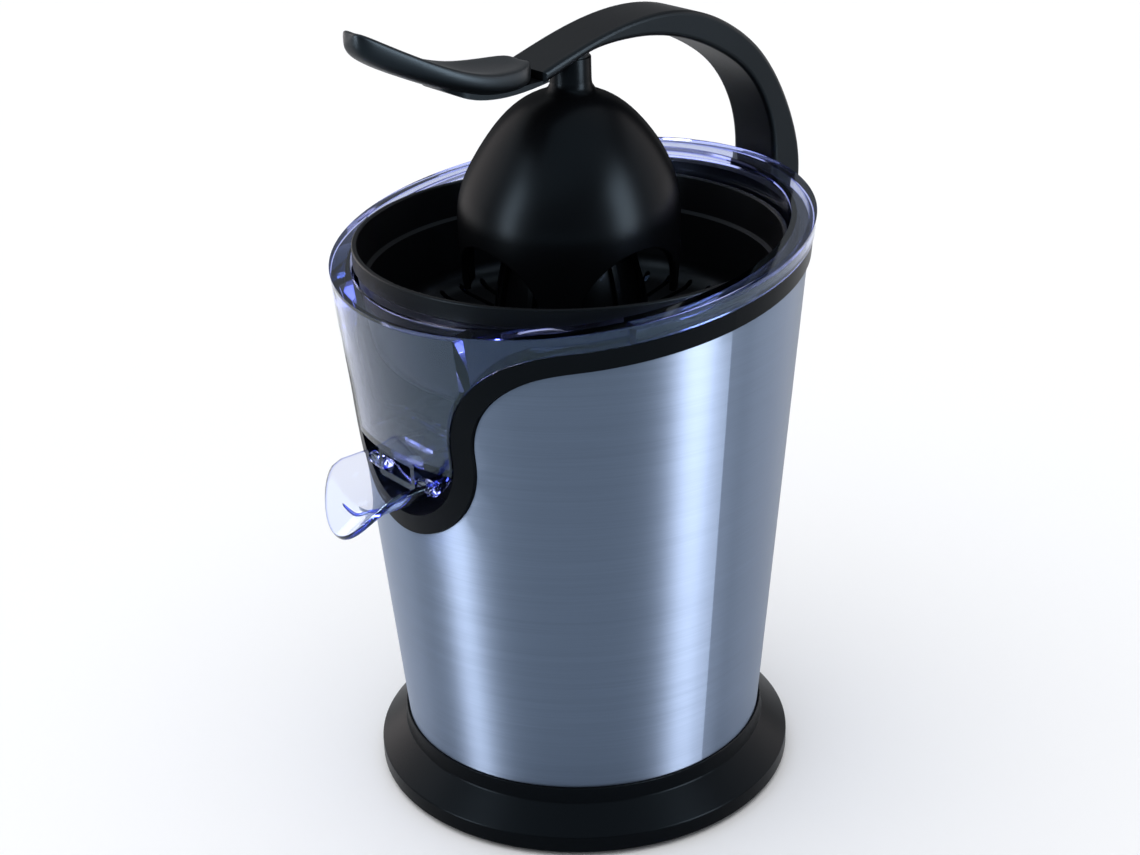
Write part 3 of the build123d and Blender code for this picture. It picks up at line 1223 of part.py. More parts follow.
pieces = {"foot_ring": foot_ring, "base_ring": base_ring, "cord_gland": cord_gland,
          "bottom_cover": bottom_cover, "cover_screws": cover_screws, "body_screws": body_screws,
          "steel_sleeve": steel_sleeve,
          "inner_housing": inner_housing, "juice_bowl": juice_bowl, "spout": spout, "strainer": strainer,
          "reamer": reamer, "press_dome": press_dome, "dome_screw": dome_screw, "lever_arm": lever_arm,
          "handle_paddle": handle_paddle, "paddle_screws": paddle_screws, "hinge_pin": hinge_pin,
          "drive_shaft": drive_shaft, "tower_bush": tower_bush, "shaft_seal": shaft_seal,
          "thrust_washer": thrust_washer, "cover_bush": cover_bush, "return_spring": return_spring,
          "output_wheel": output_wheel, "idler_gear": idler_gear, "idler_pin": idler_pin,
          "gearbox_case": gearbox_case, "gearbox_cover": gearbox_cover, "gearbox_screws": gearbox_screws,
          "motor_pinion": motor_pinion, "motor_shaft": motor_shaft, "rotor_core": rotor_core,
          "cooling_fan": cooling_fan, "stator_core": stator_core, "stator_windings": stator_windings,
          "motor_bracket": motor_bracket, "motor_bushes": motor_bushes, "motor_bolts": motor_bolts,
          "press_switch": press_switch, "switch_plunger": switch_plunger}
for label, piece in pieces.items():
    piece.part.label = label
    export_step(piece.part, "parts/" + label + ".step")
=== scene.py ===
"""Looks of a lever citrus press, built around its packed CAD model."""

import json
import math

import bmesh
import bpy
from bpy.props import FloatProperty, FloatVectorProperty, IntProperty, PointerProperty
from mathutils import Matrix, Vector


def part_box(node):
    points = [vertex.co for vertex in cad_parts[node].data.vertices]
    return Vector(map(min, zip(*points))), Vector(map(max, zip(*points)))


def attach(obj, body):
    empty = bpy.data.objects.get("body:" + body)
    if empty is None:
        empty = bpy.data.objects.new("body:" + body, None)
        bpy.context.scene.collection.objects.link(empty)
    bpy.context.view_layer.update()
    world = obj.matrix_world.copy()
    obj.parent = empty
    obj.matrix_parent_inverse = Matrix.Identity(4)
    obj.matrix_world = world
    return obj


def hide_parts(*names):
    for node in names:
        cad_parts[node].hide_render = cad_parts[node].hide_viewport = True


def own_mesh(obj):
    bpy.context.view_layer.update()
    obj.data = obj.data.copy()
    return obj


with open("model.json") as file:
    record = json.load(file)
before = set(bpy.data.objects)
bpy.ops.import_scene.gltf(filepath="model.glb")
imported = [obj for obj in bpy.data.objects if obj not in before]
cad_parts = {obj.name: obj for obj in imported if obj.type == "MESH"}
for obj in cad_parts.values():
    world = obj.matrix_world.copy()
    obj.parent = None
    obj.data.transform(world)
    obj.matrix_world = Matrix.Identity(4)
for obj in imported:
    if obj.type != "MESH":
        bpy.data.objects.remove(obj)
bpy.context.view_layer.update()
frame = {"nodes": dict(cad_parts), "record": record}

bl_info = {
    "name": "Citrus press",
    "version": (1, 0, 0),
    "blender": (4, 5, 0),
    "location": "View3D > Sidebar > Citrus press",
    "description": "Finishes and modelled pieces of a lever citrus press",
    "category": "Object",
}

nodes = frame["nodes"]

# Painted cool tint on the sheen of the black and the clear plastic, a painted reflection colour that stands in for
# bluish light
PAINTED_COOL_SHEEN = (0.52, 0.78, 1.0, 1.0)

# Clear plastic: how far in from an edge the painted blue reaches, how fast it fades and how deep the wall's tint
# is
PAINTED_EDGE_REACH = 0.0015
PAINTED_EDGE_GAIN = 5.0
CLEAR_DENSITY = 60.0

# Soft panels that the steel reflects: degrees round from the spout, width and height, watts
PANELS = {
    "left_strip": (-13, (0.3, 1.2), 35.0),
    "right_strip": (110, (0.48, 1.2), 52.0),
    "left_wall": (-70, (1.2, 1.2), 14.0),
    "right_wall": (163, (1.1, 1.2), 10.0),
}
PANEL_TINT = (1.0, 0.9, 0.87)
PANEL_DISTANCE = 1.3
PANEL_HEIGHT = 0.5
PANEL_AIM = Vector((0.0, 0.0, 0.15))
SKY_STRENGTH = 2.3
SKY_TILT = (math.radians(8), math.radians(-6), 0.0)

# Paddle: places of its sections, from its end on the lever (0) to its tip (1), and along these the share of the
# full width, the rise in metres and the share of the full thickness
STATIONS = (0.0, 0.006, 0.02, 0.045, 0.085, 0.133, 0.2, 0.293, 0.37, 0.453, 0.53, 0.613, 0.69, 0.773, 0.84,
            0.907, 0.95, 0.978, 0.992, 1.0)
LEAF_WIDTH = ((0.0, 0.12), (0.006, 0.26), (0.02, 0.42), (0.045, 0.58), (0.085, 0.74), (0.133, 0.86),
              (0.293, 0.99), (0.453, 1.0), (0.613, 0.9), (0.773, 0.71), (0.907, 0.52), (0.95, 0.45),
              (0.978, 0.37), (0.992, 0.28), (1.0, 0.14))
LEAF_RISE = ((0.0, -0.0006), (0.045, -0.001), (0.133, -0.0013), (0.293, -0.0006), (0.453, 0.0023),
             (0.613, 0.007), (0.773, 0.0126), (0.907, 0.0177), (1.0, 0.0217))
LEAF_THICK = ((0.0, 0.35), (0.02, 0.8), (0.045, 1.0), (0.613, 1.0), (0.907, 1.1), (0.978, 0.95),
              (0.992, 0.7), (1.0, 0.35))
LEAF_SIDES = 24
LEAF_FLATNESS = 0.62
LEAF_SQUARENESS = 0.55
LEAF_UNDERSIDE = 0.45

# Spout: height of its round floor's centre above the pivot, and the steps round and along it
SPOUT_CENTRE = 0.015
SPOUT_STEPS = 40

# Drip bead: gap to the rim, width across, start along the spout, end past the bend and how it is divided
BEAD_GAP = 0.0022
BEAD_SPAN = 0.0278
BEAD_START = 0.011
BEAD_PAST = 0.003
BEAD_STEPS = 32
BEAD_CURVED = 24
BEAD_SIDES = 10
BEAD_TIP = 0.25

# Dome: rows and columns, slimmer shoulders, the foot of the stem beside the crown, the share of each quarter that
# its arch takes, the arch's lift, how far below the crown its pull ends and how far up the lean grows
SKIRT_ROWS = 10
CROWN_ROWS = 24
DOME_COLUMNS = 128
SHOULDER = 0.072
STEM_GAP = 0.003
STEM_FOOT = ((0.0012, -0.0004), (0.0002, 0.0012), (0.0, 0.003))
STEM_START = 0.001
QUARTER = math.pi / 2
ARCH_SHARE = 0.8
ARCH_LIFT = 0.001
ARCH_END = 0.006
LEAN_SHARE = 0.6

# Return spring: sides of the wire and steps in each turn
WIRE_SIDES = 12
COIL_STEPS = 48


def colour(name, description, default):
    """A colour that a user may change."""
    return FloatVectorProperty(name=name, description=description, default=default, subtype="COLOR",
                               size=4, min=0.0, max=1.0)


def length(name, description, default):
    """A size in metres that a user may change."""
    return FloatProperty(name=name, description=description, default=default, unit="LENGTH", precision=4)


def angle(name, description, default):
    """An angle, given in degrees, that a user may change."""
    return FloatProperty(name=name, description=description, default=math.radians(default), unit="ROTATION")


class CitrusStage(bpy.types.PropertyGroup):
    """Camera, floor and lamps"""

    camera_distance: length("Camera distance", "From the drive axis, along the floor", 0.75)
    camera_height: length("Camera height", "Above the floor", 0.48655)
    camera_side: angle("Camera side", "Turn from the spout towards the right", 51.0)
    camera_turn: angle("Camera turn", "Turn of the view away from the drive axis", 0.165)
    camera_pitch: angle("Camera pitch", "Look down from the horizon", 24.37)
    camera_roll: angle("Camera roll", "Tilt of the picture", -1.8)
    focal_length: FloatProperty(name="Focal length", description="Millimetres on a 36 mm wide sensor",
                                default=64.6)
    floor_size: length("Floor size", "Side of the square floor", 40.0)
    floor_colour: colour("Floor colour", "Pale matt floor", (0.93, 0.93, 0.935, 1.0))
    room_colour: colour("Room colour", "Soft light from all round", (0.36, 0.37, 0.39, 1.0))
    sky_angle: angle("Sky panel width", "How wide the soft light overhead looks", 100.0)


class CitrusPaddle(bpy.types.PropertyGroup):
    """Handle paddle"""

    thickness: length("Thickness", "Thickness of the leaf at its edge", 0.0098)
    dish: length("Dish", "How deep the top is dished", 0.0034)


class CitrusSpout(bpy.types.PropertyGroup):
    """Drip-stop spout"""

    radius: length("Radius", "Outside radius of the round-bottomed trough", 0.025)
    wall: length("Wall", "Thickness of the clear wall", 0.002)
    rim: length("Rim", "Height of the side walls above the pivot", 0.003)
    tail: length("Tail", "Length of the trough behind the pivot", 0.006)
    corner: length("Corner", "Length of the side walls in front of the pivot", 0.014)
    reach: length("Reach", "Length of the floor in front of the pivot", 0.031)
    bend: length("Bend", "Where the floor starts to turn down", 0.02)
    drop: length("Drop", "How far the lip turns down", 0.0066)
    bead: length("Bead", "Radius of the drip bead across the floor", 0.0008)


class CitrusDome(bpy.types.PropertyGroup):
    """Press dome"""

    radius: length("Radius", "Widest radius", 0.043)
    tuck: length("Tuck", "How much narrower the edge is", 0.0014)
    wall: length("Wall", "Thickness of the wall", 0.0026)
    equator: length("Equator", "Height of the widest ring above the edge", 0.031)
    rise: length("Rise", "Height of the crown above the widest ring", 0.0475)
    arch: length("Arch", "Radius of the four arches", 0.024)
    stem: length("Stem", "Radius of the stem", 0.0079)
    lean: length("Lean", "How far the crown leans back", 0.0017)
    setback: length("Setback", "How far the stem stands behind the middle", 0.0028)


class CitrusSpring(bpy.types.PropertyGroup):
    """Return spring under the drive shaft's washer"""

    wire: length("Wire", "Radius of the wire", 0.0008)
    turns: IntProperty(name="Turns", description="Turns of the coil", default=4, min=1)


class CitrusColours(bpy.types.PropertyGroup):
    """Colours of the finishes"""

    # Painted shade: the body's steel is darker and bluer than bare steel, standing in for dimmer, bluer
    # surroundings than the floor and room it reflects
    steel: colour("Brushed steel", "Steel sheet of the body", (0.113, 0.154, 0.222, 1.0))
    black: colour("Satin black", "Lever, dome, strainer and trim", (0.0022, 0.0025, 0.0032, 1.0))
    base: colour("Base black", "Semi-gloss base", (0.0022, 0.0026, 0.0034, 1.0))
    rubber: colour("Rubber", "Foot ring, gland and seal", (0.012, 0.012, 0.013, 1.0))
    clear: colour("Clear plastic", "Bowl and spout", (0.91, 0.945, 1.0, 1.0))
    clear_depth: colour("Clear depth", "What the clear plastic lets through", (0.25, 0.36, 0.97, 1.0))
    # Painted edge colour: the deep blue of light that runs through the clear plastic edge on, painted along its
    # edges and on the drip bead
    painted_clear_edge: colour("Clear edge", "Clear plastic seen along its edges", (0.1, 0.14, 0.72, 1.0))
    bright: colour("Bright steel", "Screws, pins and shafts", (0.55, 0.56, 0.58, 1.0))
    bronze: colour("Bronze", "Sintered bushes", (0.5, 0.34, 0.16, 1.0))
    acetal: colour("Acetal", "White gears and washer", (0.78, 0.77, 0.72, 1.0))
    casing: colour("Casing grey", "Gearbox, fan and switch", (0.05, 0.052, 0.056, 1.0))
    iron: colour("Laminations", "Motor iron", (0.16, 0.16, 0.17, 1.0))
    copper: colour("Copper", "Varnished windings", (0.55, 0.22, 0.08, 1.0))
    alloy: colour("Cast alloy", "Motor bracket", (0.56, 0.57, 0.59, 1.0))


class Value:
    """A node's output that takes part in Python arithmetic."""

    def __init__(self, graph, socket):
        self.graph = graph
        self.socket = socket

    def math(self, operation, first, second):
        return self.graph.node("Math", {"operation": operation}, {0: first, 1: second})

    def __add__(self, other):
        return self.math("ADD", self, other)

    def __sub__(self, other):
        return self.math("SUBTRACT", self, other)

    def __rsub__(self, other):
        return self.math("SUBTRACT", other, self)

    def __mul__(self, other):
        return self.math("MULTIPLY", self, other)

    __radd__ = __add__
    __rmul__ = __mul__


class Finish:
    """A material with one main shader, on the piece's object coordinates."""

    def __init__(self, name, constants):
        self.material = bpy.data.materials.new(name)
        self.material.use_nodes = True
        self.tree = self.material.node_tree
        self.shader = self.tree.nodes["Principled BSDF"]
        self.ending = self.tree.nodes["Material Output"]
        for socket, constant in constants.items():
            self.shader.inputs[socket].default_value = constant
        self.place = self.node("TexCoord", output="Object")

    def node(self, kind, settings=None, inputs=None, output=0):
        """Adds any node and gives one of its outputs."""
        added = self.tree.nodes.new("ShaderNode" + kind)
        for name, setting in (settings or {}).items():
            setattr(added, name, setting)
        for name, entry in (inputs or {}).items():
            self.feed(added.inputs[name], entry)
        return Value(self, added.outputs[output])

    def feed(self, socket, entry):
        if isinstance(entry, Value):
            self.tree.links.new(entry.socket, socket)
        else:
            socket.default_value = entry

    def set(self, socket, entry):
        self.feed(self.shader.inputs[socket], entry)

    def blend(self, share, first, second):
        """A colour between two, by a share."""
        return self.node("Mix", {"data_type": "RGBA"}, {0: share, 6: first, 7: second}, 2)

    def cover(self, share, other):
        """Shows another shader in place of the main one, by a share."""
        main_shader = Value(self, self.shader.outputs[0])
        self.feed(self.ending.inputs["Surface"],
                  self.node("MixShader", inputs={0: share, 1: main_shader, 2: other}))

    def grain(self, scale, stretch=(1.0, 1.0, 1.0), detail=3.0):
        """Soft noise, from 0 to 1, with features about 1 / scale metres wide."""
        placed_on = self.node("Mapping", inputs={"Vector": self.place, "Scale": stretch})
        return self.node("TexNoise", inputs={"Vector": placed_on, "Scale": scale, "Detail": detail}, output="Fac")

    def bump(self, height, strength, distance):
        self.set("Normal", self.node("Bump", inputs={"Height": height, "Strength": strength,
                                                     "Distance": distance}, output="Normal"))


def shade(tint, factor):
    """The same tint, lighter or darker."""
    return [min(1.0, part * factor) for part in tint[:3]] + [1.0]


def moulded_plastic(name, tint, roughness, specular, grain_size=0.0006, painted_edge_shade=0.0):
    """Moulded plastic with a fine spark-eroded grain and faint handling marks, with painted shade where it is seen
    edge on.
    """
    finish = Finish(name, {"Specular IOR Level": specular, "Specular Tint": PAINTED_COOL_SHEEN})
    grain = finish.grain(1.0 / grain_size, detail=2.0)
    handling = finish.grain(14.0, detail=4.0)
    finish.set("Base Color", finish.blend(handling, shade(tint, 0.8), shade(tint, 1.3)))
    finish.set("Roughness", handling * 0.12 + grain * 0.08 + (roughness - 0.1))
    finish.bump(grain, strength=0.1, distance=0.0001)
    if painted_edge_shade:
        # Painted shade: a dark matt coat covers the sheen where the surface is seen edge on
        turned = finish.node("LayerWeight", inputs={"Blend": 0.5}, output="Facing")
        finish.cover(turned * painted_edge_shade, finish.node("BsdfDiffuse", inputs={"Color": shade(tint, 1.0)}))
    return finish.material


def brushed_sheet(name, tint):
    """Steel sheet with fine lines brushed round the body."""
    finish = Finish(name, {"Metallic": 1.0, "Anisotropic": 0.92, "Anisotropic Rotation": 0.25})
    lines = finish.grain(1.0, stretch=(22.0, 22.0, 2600.0), detail=4.0)
    bands = finish.grain(1.0, stretch=(6.0, 6.0, 420.0), detail=3.0)
    brush = lines * 0.65 + bands * 0.35
    finish.set("Base Color", finish.blend(brush, shade(tint, 0.8), shade(tint, 1.2)))
    finish.set("Roughness", brush * 0.14 + 0.36)
    finish.bump(brush, strength=0.06, distance=0.0001)
    return finish.material


def plain_metal(name, tint, roughness, scale=900.0):
    """Machined or cast metal with a fine tooth."""
    finish = Finish(name, {"Metallic": 1.0})
    tooth = finish.grain(scale, detail=4.0)
    finish.set("Base Color", finish.blend(tooth, shade(tint, 0.8), shade(tint, 1.15)))
    finish.set("Roughness", tooth * 0.2 + (roughness - 0.1))
    finish.bump(tooth, strength=0.08, distance=0.0001)
    return finish.material


def clear_plastic(name, tint, depth, edge):
    """Polished clear plastic that lets light through to what lies behind, with a painted deep blue along its edges
    that stands in for light running through it edge on.
    """
    finish = Finish(name, {"Transmission Weight": 1.0, "IOR": 1.49, "Specular Tint": PAINTED_COOL_SHEEN})
    swirl = finish.grain(30.0, detail=2.0)
    # Painted blue: the colour turns to the edge colour near edges, where the rounded normal parts from the true
    # one
    rounded = finish.node("Bevel", {"samples": 6}, {"Radius": PAINTED_EDGE_REACH}, "Normal")
    surface = finish.node("NewGeometry", output="Normal")
    aligned = finish.node("VectorMath", {"operation": "DOT_PRODUCT"}, {0: rounded, 1: surface}, "Value")
    edges = finish.node("Math", {"operation": "MULTIPLY", "use_clamp": True}, {0: 1.0 - aligned, 1: PAINTED_EDGE_GAIN})
    finish.set("Base Color", finish.blend(edges, tint, edge))
    finish.set("Roughness", swirl * 0.04 + 0.01)
    finish.bump(swirl, strength=0.02, distance=0.0005)
    finish.cover(finish.node("LightPath", output="Is Shadow Ray"),
                 finish.node("BsdfTransparent", inputs={"Color": tint}))
    finish.feed(finish.ending.inputs["Volume"],
                finish.node("VolumeAbsorption", inputs={"Color": depth, "Density": CLEAR_DENSITY}))
    return finish.material


def laminated_iron(name, tint):
    """A stack of half-millimetre sheets, seen as fine rings."""
    finish = Finish(name, {"Metallic": 1.0})
    sheets = finish.node("TexWave", {"wave_type": "BANDS", "bands_direction": "Z"},
                         {"Vector": finish.place, "Scale": 320.0, "Distortion": 0.4}, "Fac")
    finish.set("Base Color", finish.blend(sheets, shade(tint, 0.5), shade(tint, 1.2)))
    finish.set("Roughness", sheets * 0.15 + 0.4)
    finish.bump(sheets, strength=0.2, distance=0.0002)
    return finish.material


def wound_copper(name, tint):
    """Varnished wire laid side by side."""
    finish = Finish(name, {"Metallic": 1.0, "Coat Roughness": 0.15, "Coat Weight": 0.6})
    wires = finish.node("TexWave", {"wave_type": "RINGS", "rings_direction": "Z"},
                        {"Vector": finish.place, "Scale": 300.0, "Distortion": 1.2}, "Fac")
    finish.set("Base Color", finish.blend(wires, shade(tint, 0.35), shade(tint, 1.1)))
    finish.set("Roughness", wires * 0.2 + 0.25)
    finish.bump(wires, strength=0.3, distance=0.0003)
    return finish.material


def dress(finish, *names):
    """Gives CAD nodes a finish."""
    for name in names:
        nodes[name].data.materials.clear()
        nodes[name].data.materials.append(finish)


def panel(name, side, size, energy):
    """A tall soft panel beside the press, seen only as a reflection, that looks at its body."""
    light = bpy.data.lights.new(name, "AREA")
    light.shape = "RECTANGLE"
    light.size, light.size_y = size
    light.color = PANEL_TINT
    light.energy = energy
    holder = bpy.data.objects.new(name, light)
    turn = math.radians(side)
    holder.location = (PANEL_DISTANCE * math.sin(turn), -PANEL_DISTANCE * math.cos(turn), PANEL_HEIGHT)
    holder.rotation_euler = (PANEL_AIM - holder.location).to_track_quat("-Z", "Y").to_euler()
    holder.visible_camera = False
    holder.visible_diffuse = False
    bpy.context.scene.collection.objects.link(holder)


def curve(points, share):
    """A smooth line through (place, height) points, read at a place."""
    for index in range(len(points) - 1):
        (x1, y1), (x2, y2) = points[index], points[index + 1]
        if share <= x2:
            before = points[max(index - 1, 0)]
            after = points[min(index + 2, len(points) - 1)]
            step = x2 - x1
            slope1 = (y2 - before[1]) / (x2 - before[0]) * step
            slope2 = (after[1] - y1) / (after[0] - x1) * step
            t = (share - x1) / step
            return ((2 * t ** 3 - 3 * t ** 2 + 1) * y1 + (t ** 3 - 2 * t ** 2 + t) * slope1
                    + (3 * t ** 2 - 2 * t ** 3) * y2 + (t ** 3 - t ** 2) * slope2)
    return points[-1][1]


def only_verts(made):
    """The vertices among what an operator made."""
    return [item for item in made if isinstance(item, bmesh.types.BMVert)]


def drawn_rows(shape, count):
    """Draws a new shape's edges out, again and again, and gives the rows of vertices."""
    rows = [list(shape.verts)]
    edges = list(shape.edges)
    for step in range(count):
        made = bmesh.ops.extrude_edge_only(shape, edges=edges)["geom"]
        rows.append(only_verts(made))
        last = set(rows[-1])
        edges = [item for item in made if isinstance(item, bmesh.types.BMEdge) and last.issuperset(item.verts)]
    return rows


def close_ends(shape, first, last):
    """Closes a tube's two ends and turns its faces outwards."""
    bmesh.ops.contextual_create(shape, geom=first)
    bmesh.ops.contextual_create(shape, geom=last)
    bmesh.ops.recalc_face_normals(shape, faces=shape.faces)


def handle_leaf(sizes):
    """Leaf-shaped paddle: one section drawn out along the lever, dished on top, with rounded edges."""
    low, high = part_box("handle_paddle")
    centre, reach = (low[0] + high[0]) / 2, high[1] - low[1]
    half, base = (high[0] - low[0]) / 2, low[2]
    leaf = bmesh.new()
    bmesh.ops.create_circle(leaf, segments=LEAF_SIDES, radius=1.0)
    sections = drawn_rows(leaf, len(STATIONS) - 1)
    for station, section in zip(STATIONS, sections):
        width = half * curve(LEAF_WIDTH, station)
        middle = base + sizes.thickness / 2 + curve(LEAF_RISE, station)
        thick = sizes.thickness / 2 * curve(LEAF_THICK, station)
        for vert in section:
            across = math.copysign(abs(vert.co.x) ** LEAF_FLATNESS, vert.co.x)
            up = math.copysign(abs(vert.co.y) ** LEAF_SQUARENESS, vert.co.y)
            dish = sizes.dish * (1 - across ** 2) * (1 if up > 0 else LEAF_UNDERSIDE) * min(1.0, width / half)
            vert.co = (centre + width * across, high[1] - station * reach, middle + thick * up - dish)
    close_ends(leaf, sections[0], sections[-1])
    return finished(leaf, "paddle_leaf", levels=1)


def joint_named(name):
    """A joint's row in the record."""
    return next(joint for joint in frame["record"]["behaviour"]["joints"] if joint["name"] == name)


def spout_pivot():
    """Where the spout turns on the bowl."""
    return Vector(joint_named("spout_flip")["pos_m"])


def rim_angle(sizes):
    """Where the spout's round wall ends at its rim, as an angle up from the level."""
    return math.asin((sizes.rim - SPOUT_CENTRE) / sizes.radius)


def lip_drop(sizes, along, height):
    """How far the spout's wall turns down at a place along it, most at the floor and not at the rim."""
    depth = (sizes.rim - height) / (sizes.rim + sizes.radius - SPOUT_CENTRE)
    return sizes.drop * depth * max(0.0, (along - sizes.bend) / (sizes.reach - sizes.bend))


def bead_path(sizes):
    """Line of the drip bead, in from one rim and across the spout's floor."""
    pivot = spout_pivot()
    inner = sizes.radius - sizes.wall
    half = sizes.radius * math.cos(rim_angle(sizes))
    path = []
    for step in range(BEAD_STEPS + 1):
        across = half - BEAD_GAP - BEAD_SPAN * step / BEAD_STEPS
        forward = math.sin(math.pi / 2 * min(1.0, step / BEAD_CURVED)) ** 2
        along = BEAD_START + (sizes.bend + BEAD_PAST - BEAD_START) * forward
        height = SPOUT_CENTRE - math.sqrt(inner ** 2 - across ** 2)
        height -= lip_drop(sizes, along, height)
        path.append(Vector((pivot.x + across, pivot.y - along, pivot.z + height)))
    return path


def drip_bead(sizes):
    """Low bead across the spout's floor, where the lip starts to turn down, slim at its ends."""
    path = bead_path(sizes)
    bead = bmesh.new()
    bmesh.ops.create_circle(bead, segments=BEAD_SIDES, radius=sizes.bead)
    rings = drawn_rows(bead, BEAD_STEPS)
    for step, ring in enumerate(rings):
        heading = path[min(step + 1, BEAD_STEPS)] - path[max(step - 1, 0)]
        slim = BEAD_TIP + (1 - BEAD_TIP) * math.sin(math.pi * step / BEAD_STEPS) ** 0.4
        place = Matrix.Translation(path[step]) @ heading.to_track_quat("Z", "Y").to_matrix().to_4x4()
        bmesh.ops.scale(bead, vec=(slim, slim, 1.0), verts=ring)
        bmesh.ops.transform(bead, matrix=place, verts=ring)
    close_ends(bead, rings[0], rings[-1])
    return finished(bead, "spout_bead")


def spout_trough(sizes):
    """Clear trough: an arc drawn outwards, with short side walls and a floor that ends in a turned-down lip."""
    pivot = spout_pivot()
    edge = rim_angle(sizes)
    half = sizes.radius * math.cos(edge)
    trough = bmesh.new()
    start = bmesh.ops.create_vert(trough, co=(half, 0.0, sizes.radius * math.sin(edge)))["vert"]
    bmesh.ops.spin(trough, geom=start, cent=(0.0, 0.0, 0.0), axis=(0.0, 1.0, 0.0),
                   angle=math.pi + 2 * edge, steps=SPOUT_STEPS)
    if max(vert.co.z for vert in trough.verts) > sizes.rim - SPOUT_CENTRE + 1e-5:
        raise RuntimeError("the trough's arc turned the wrong way")
    for step, row in enumerate(drawn_rows(trough, SPOUT_STEPS)):
        share = step / SPOUT_STEPS
        for vert in row:
            across = vert.co.x / half
            ending = sizes.corner + (sizes.reach - sizes.corner) * math.sqrt(max(0.0, 1 - across ** 2))
            along = -sizes.tail + share * (ending + sizes.tail)
            height = SPOUT_CENTRE + vert.co.z
            height -= lip_drop(sizes, along, height)
            vert.co = (pivot.x + vert.co.x, pivot.y - along, pivot.z + height)
    bmesh.ops.recalc_face_normals(trough, faces=trough.faces)
    if sum(face.normal.z for face in trough.faces) > 0:
        bmesh.ops.reverse_faces(trough, faces=trough.faces)
    return walled(finished(trough, "spout_trough"), sizes.wall, edge=0.0005)


def dome_profile(sizes, low, high):
    """Half section of the dome, from its edge up over the shoulder and along the stem."""
    widest = low + sizes.equator
    crown = widest + sizes.rise
    skirt = [(sizes.radius - sizes.tuck * ((SKIRT_ROWS - row) / SKIRT_ROWS) ** 2,
              low + sizes.equator * row / SKIRT_ROWS) for row in range(SKIRT_ROWS)]
    shoulder = []
    for row in range(CROWN_ROWS - 1):
        turn = math.pi / 2 * row / CROWN_ROWS
        radius = sizes.radius * (1 - SHOULDER * math.sin(2 * turn) ** 2) * math.cos(turn)
        if radius > sizes.stem + STEM_GAP:
            shoulder.append((radius, widest + sizes.rise * math.sin(turn)))
    stem = [(sizes.stem + wider, crown + higher) for wider, higher in STEM_FOOT] + [(sizes.stem, high)]
    return skirt + shoulder + stem


def dome_place(sizes, low, spun):
    """Where a point of the spun dome goes: up round the nearest arch, and back with the crown's lean."""
    widest = low + sizes.equator
    crown = widest + sizes.rise
    span = math.asin(sizes.arch / (sizes.radius - sizes.tuck))
    radius, turn, height = math.hypot(spun.x, spun.y), math.atan2(spun.y, spun.x), spun.z
    middle = round(turn / QUARTER) * QUARTER
    share = (turn - middle) / (QUARTER / 2)
    if abs(share) < ARCH_SHARE:
        swing = share / ARCH_SHARE * math.pi / 2
        bent = math.asin(math.sin(swing) * math.sin(span))
        edge = low + ARCH_LIFT + sizes.arch * math.cos(swing)
    else:
        past = (abs(share) - ARCH_SHARE) / (1 - ARCH_SHARE)
        bent = math.copysign(span + past * (QUARTER / 2 - span), share)
        edge = low
    if height < widest:
        height = edge + (height - low) / sizes.equator * (widest - edge)
        radius = sizes.radius - sizes.tuck * ((widest - height) / sizes.equator) ** 2
        turn = middle + bent
    elif height < crown - ARCH_END:
        upper = (height - widest) / (crown - ARCH_END - widest)
        turn = (middle + bent) * (1 - upper) + turn * upper
    back = min(1.0, max(0.0, (height - widest) / (LEAN_SHARE * sizes.rise)))
    lean = sizes.setback if height > crown - STEM_START else sizes.lean * back ** 2 * (3 - 2 * back)
    return radius * math.cos(turn), radius * math.sin(turn) + lean, height


def dome_shell(sizes):
    """Egg-shaped dome with four arches round its edge and a stem on its crown."""
    low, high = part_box("press_dome")
    shell = bmesh.new()
    verts = []
    for radius, height in dome_profile(sizes, low[2], high[2]):
        verts += bmesh.ops.create_vert(shell, co=(radius, 0.0, height))["vert"]
    edges = [shell.edges.new(pair) for pair in zip(verts, verts[1:])]
    bmesh.ops.spin(shell, geom=verts + edges, cent=(0.0, 0.0, 0.0), axis=(0.0, 0.0, 1.0), angle=2 * math.pi,
                   steps=DOME_COLUMNS, use_merge=True)
    for vert in shell.verts:
        vert.co = dome_place(sizes, low[2], vert.co)
    bmesh.ops.recalc_face_normals(shell, faces=shell.faces)
    return walled(finished(shell, "dome_shell"), sizes.wall, edge=0.0006)


def return_coil(sizes):
    """Round wire wound up round the drive axis, in the place of the CAD spring."""
    low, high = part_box("return_spring")
    steps = COIL_STEPS * sizes.turns
    climb = (high[2] - low[2] - 2 * sizes.wire) / steps
    foot = Matrix.Translation((high[0] - sizes.wire, 0.0, low[2] + sizes.wire))
    coil = bmesh.new()
    start = bmesh.ops.create_circle(coil, segments=WIRE_SIDES, radius=sizes.wire,
                                    matrix=foot @ Matrix.Rotation(math.pi / 2, 4, "X"))["verts"]
    wound = bmesh.ops.spin(coil, geom=start + list(coil.edges), cent=(0.0, 0.0, 0.0), axis=(0.0, 0.0, 1.0),
                           dvec=(0.0, 0.0, climb), angle=2 * math.pi * sizes.turns, steps=steps)["geom_last"]
    close_ends(coil, start, only_verts(wound))
    return finished(coil, "return_coil")


def walled(piece, thickness, edge):
    """Gives an open shell its wall, inwards, with rounded edges."""
    wall = piece.modifiers.new("wall", "SOLIDIFY")
    wall.thickness = thickness
    wall.offset = -1.0
    wall.use_even_offset = True
    rounding = piece.modifiers.new("rounded_edges", "BEVEL")
    rounding.width = edge
    rounding.segments = 2
    rounding.limit_method = "ANGLE"
    rounding.angle_limit = math.radians(50)
    return piece


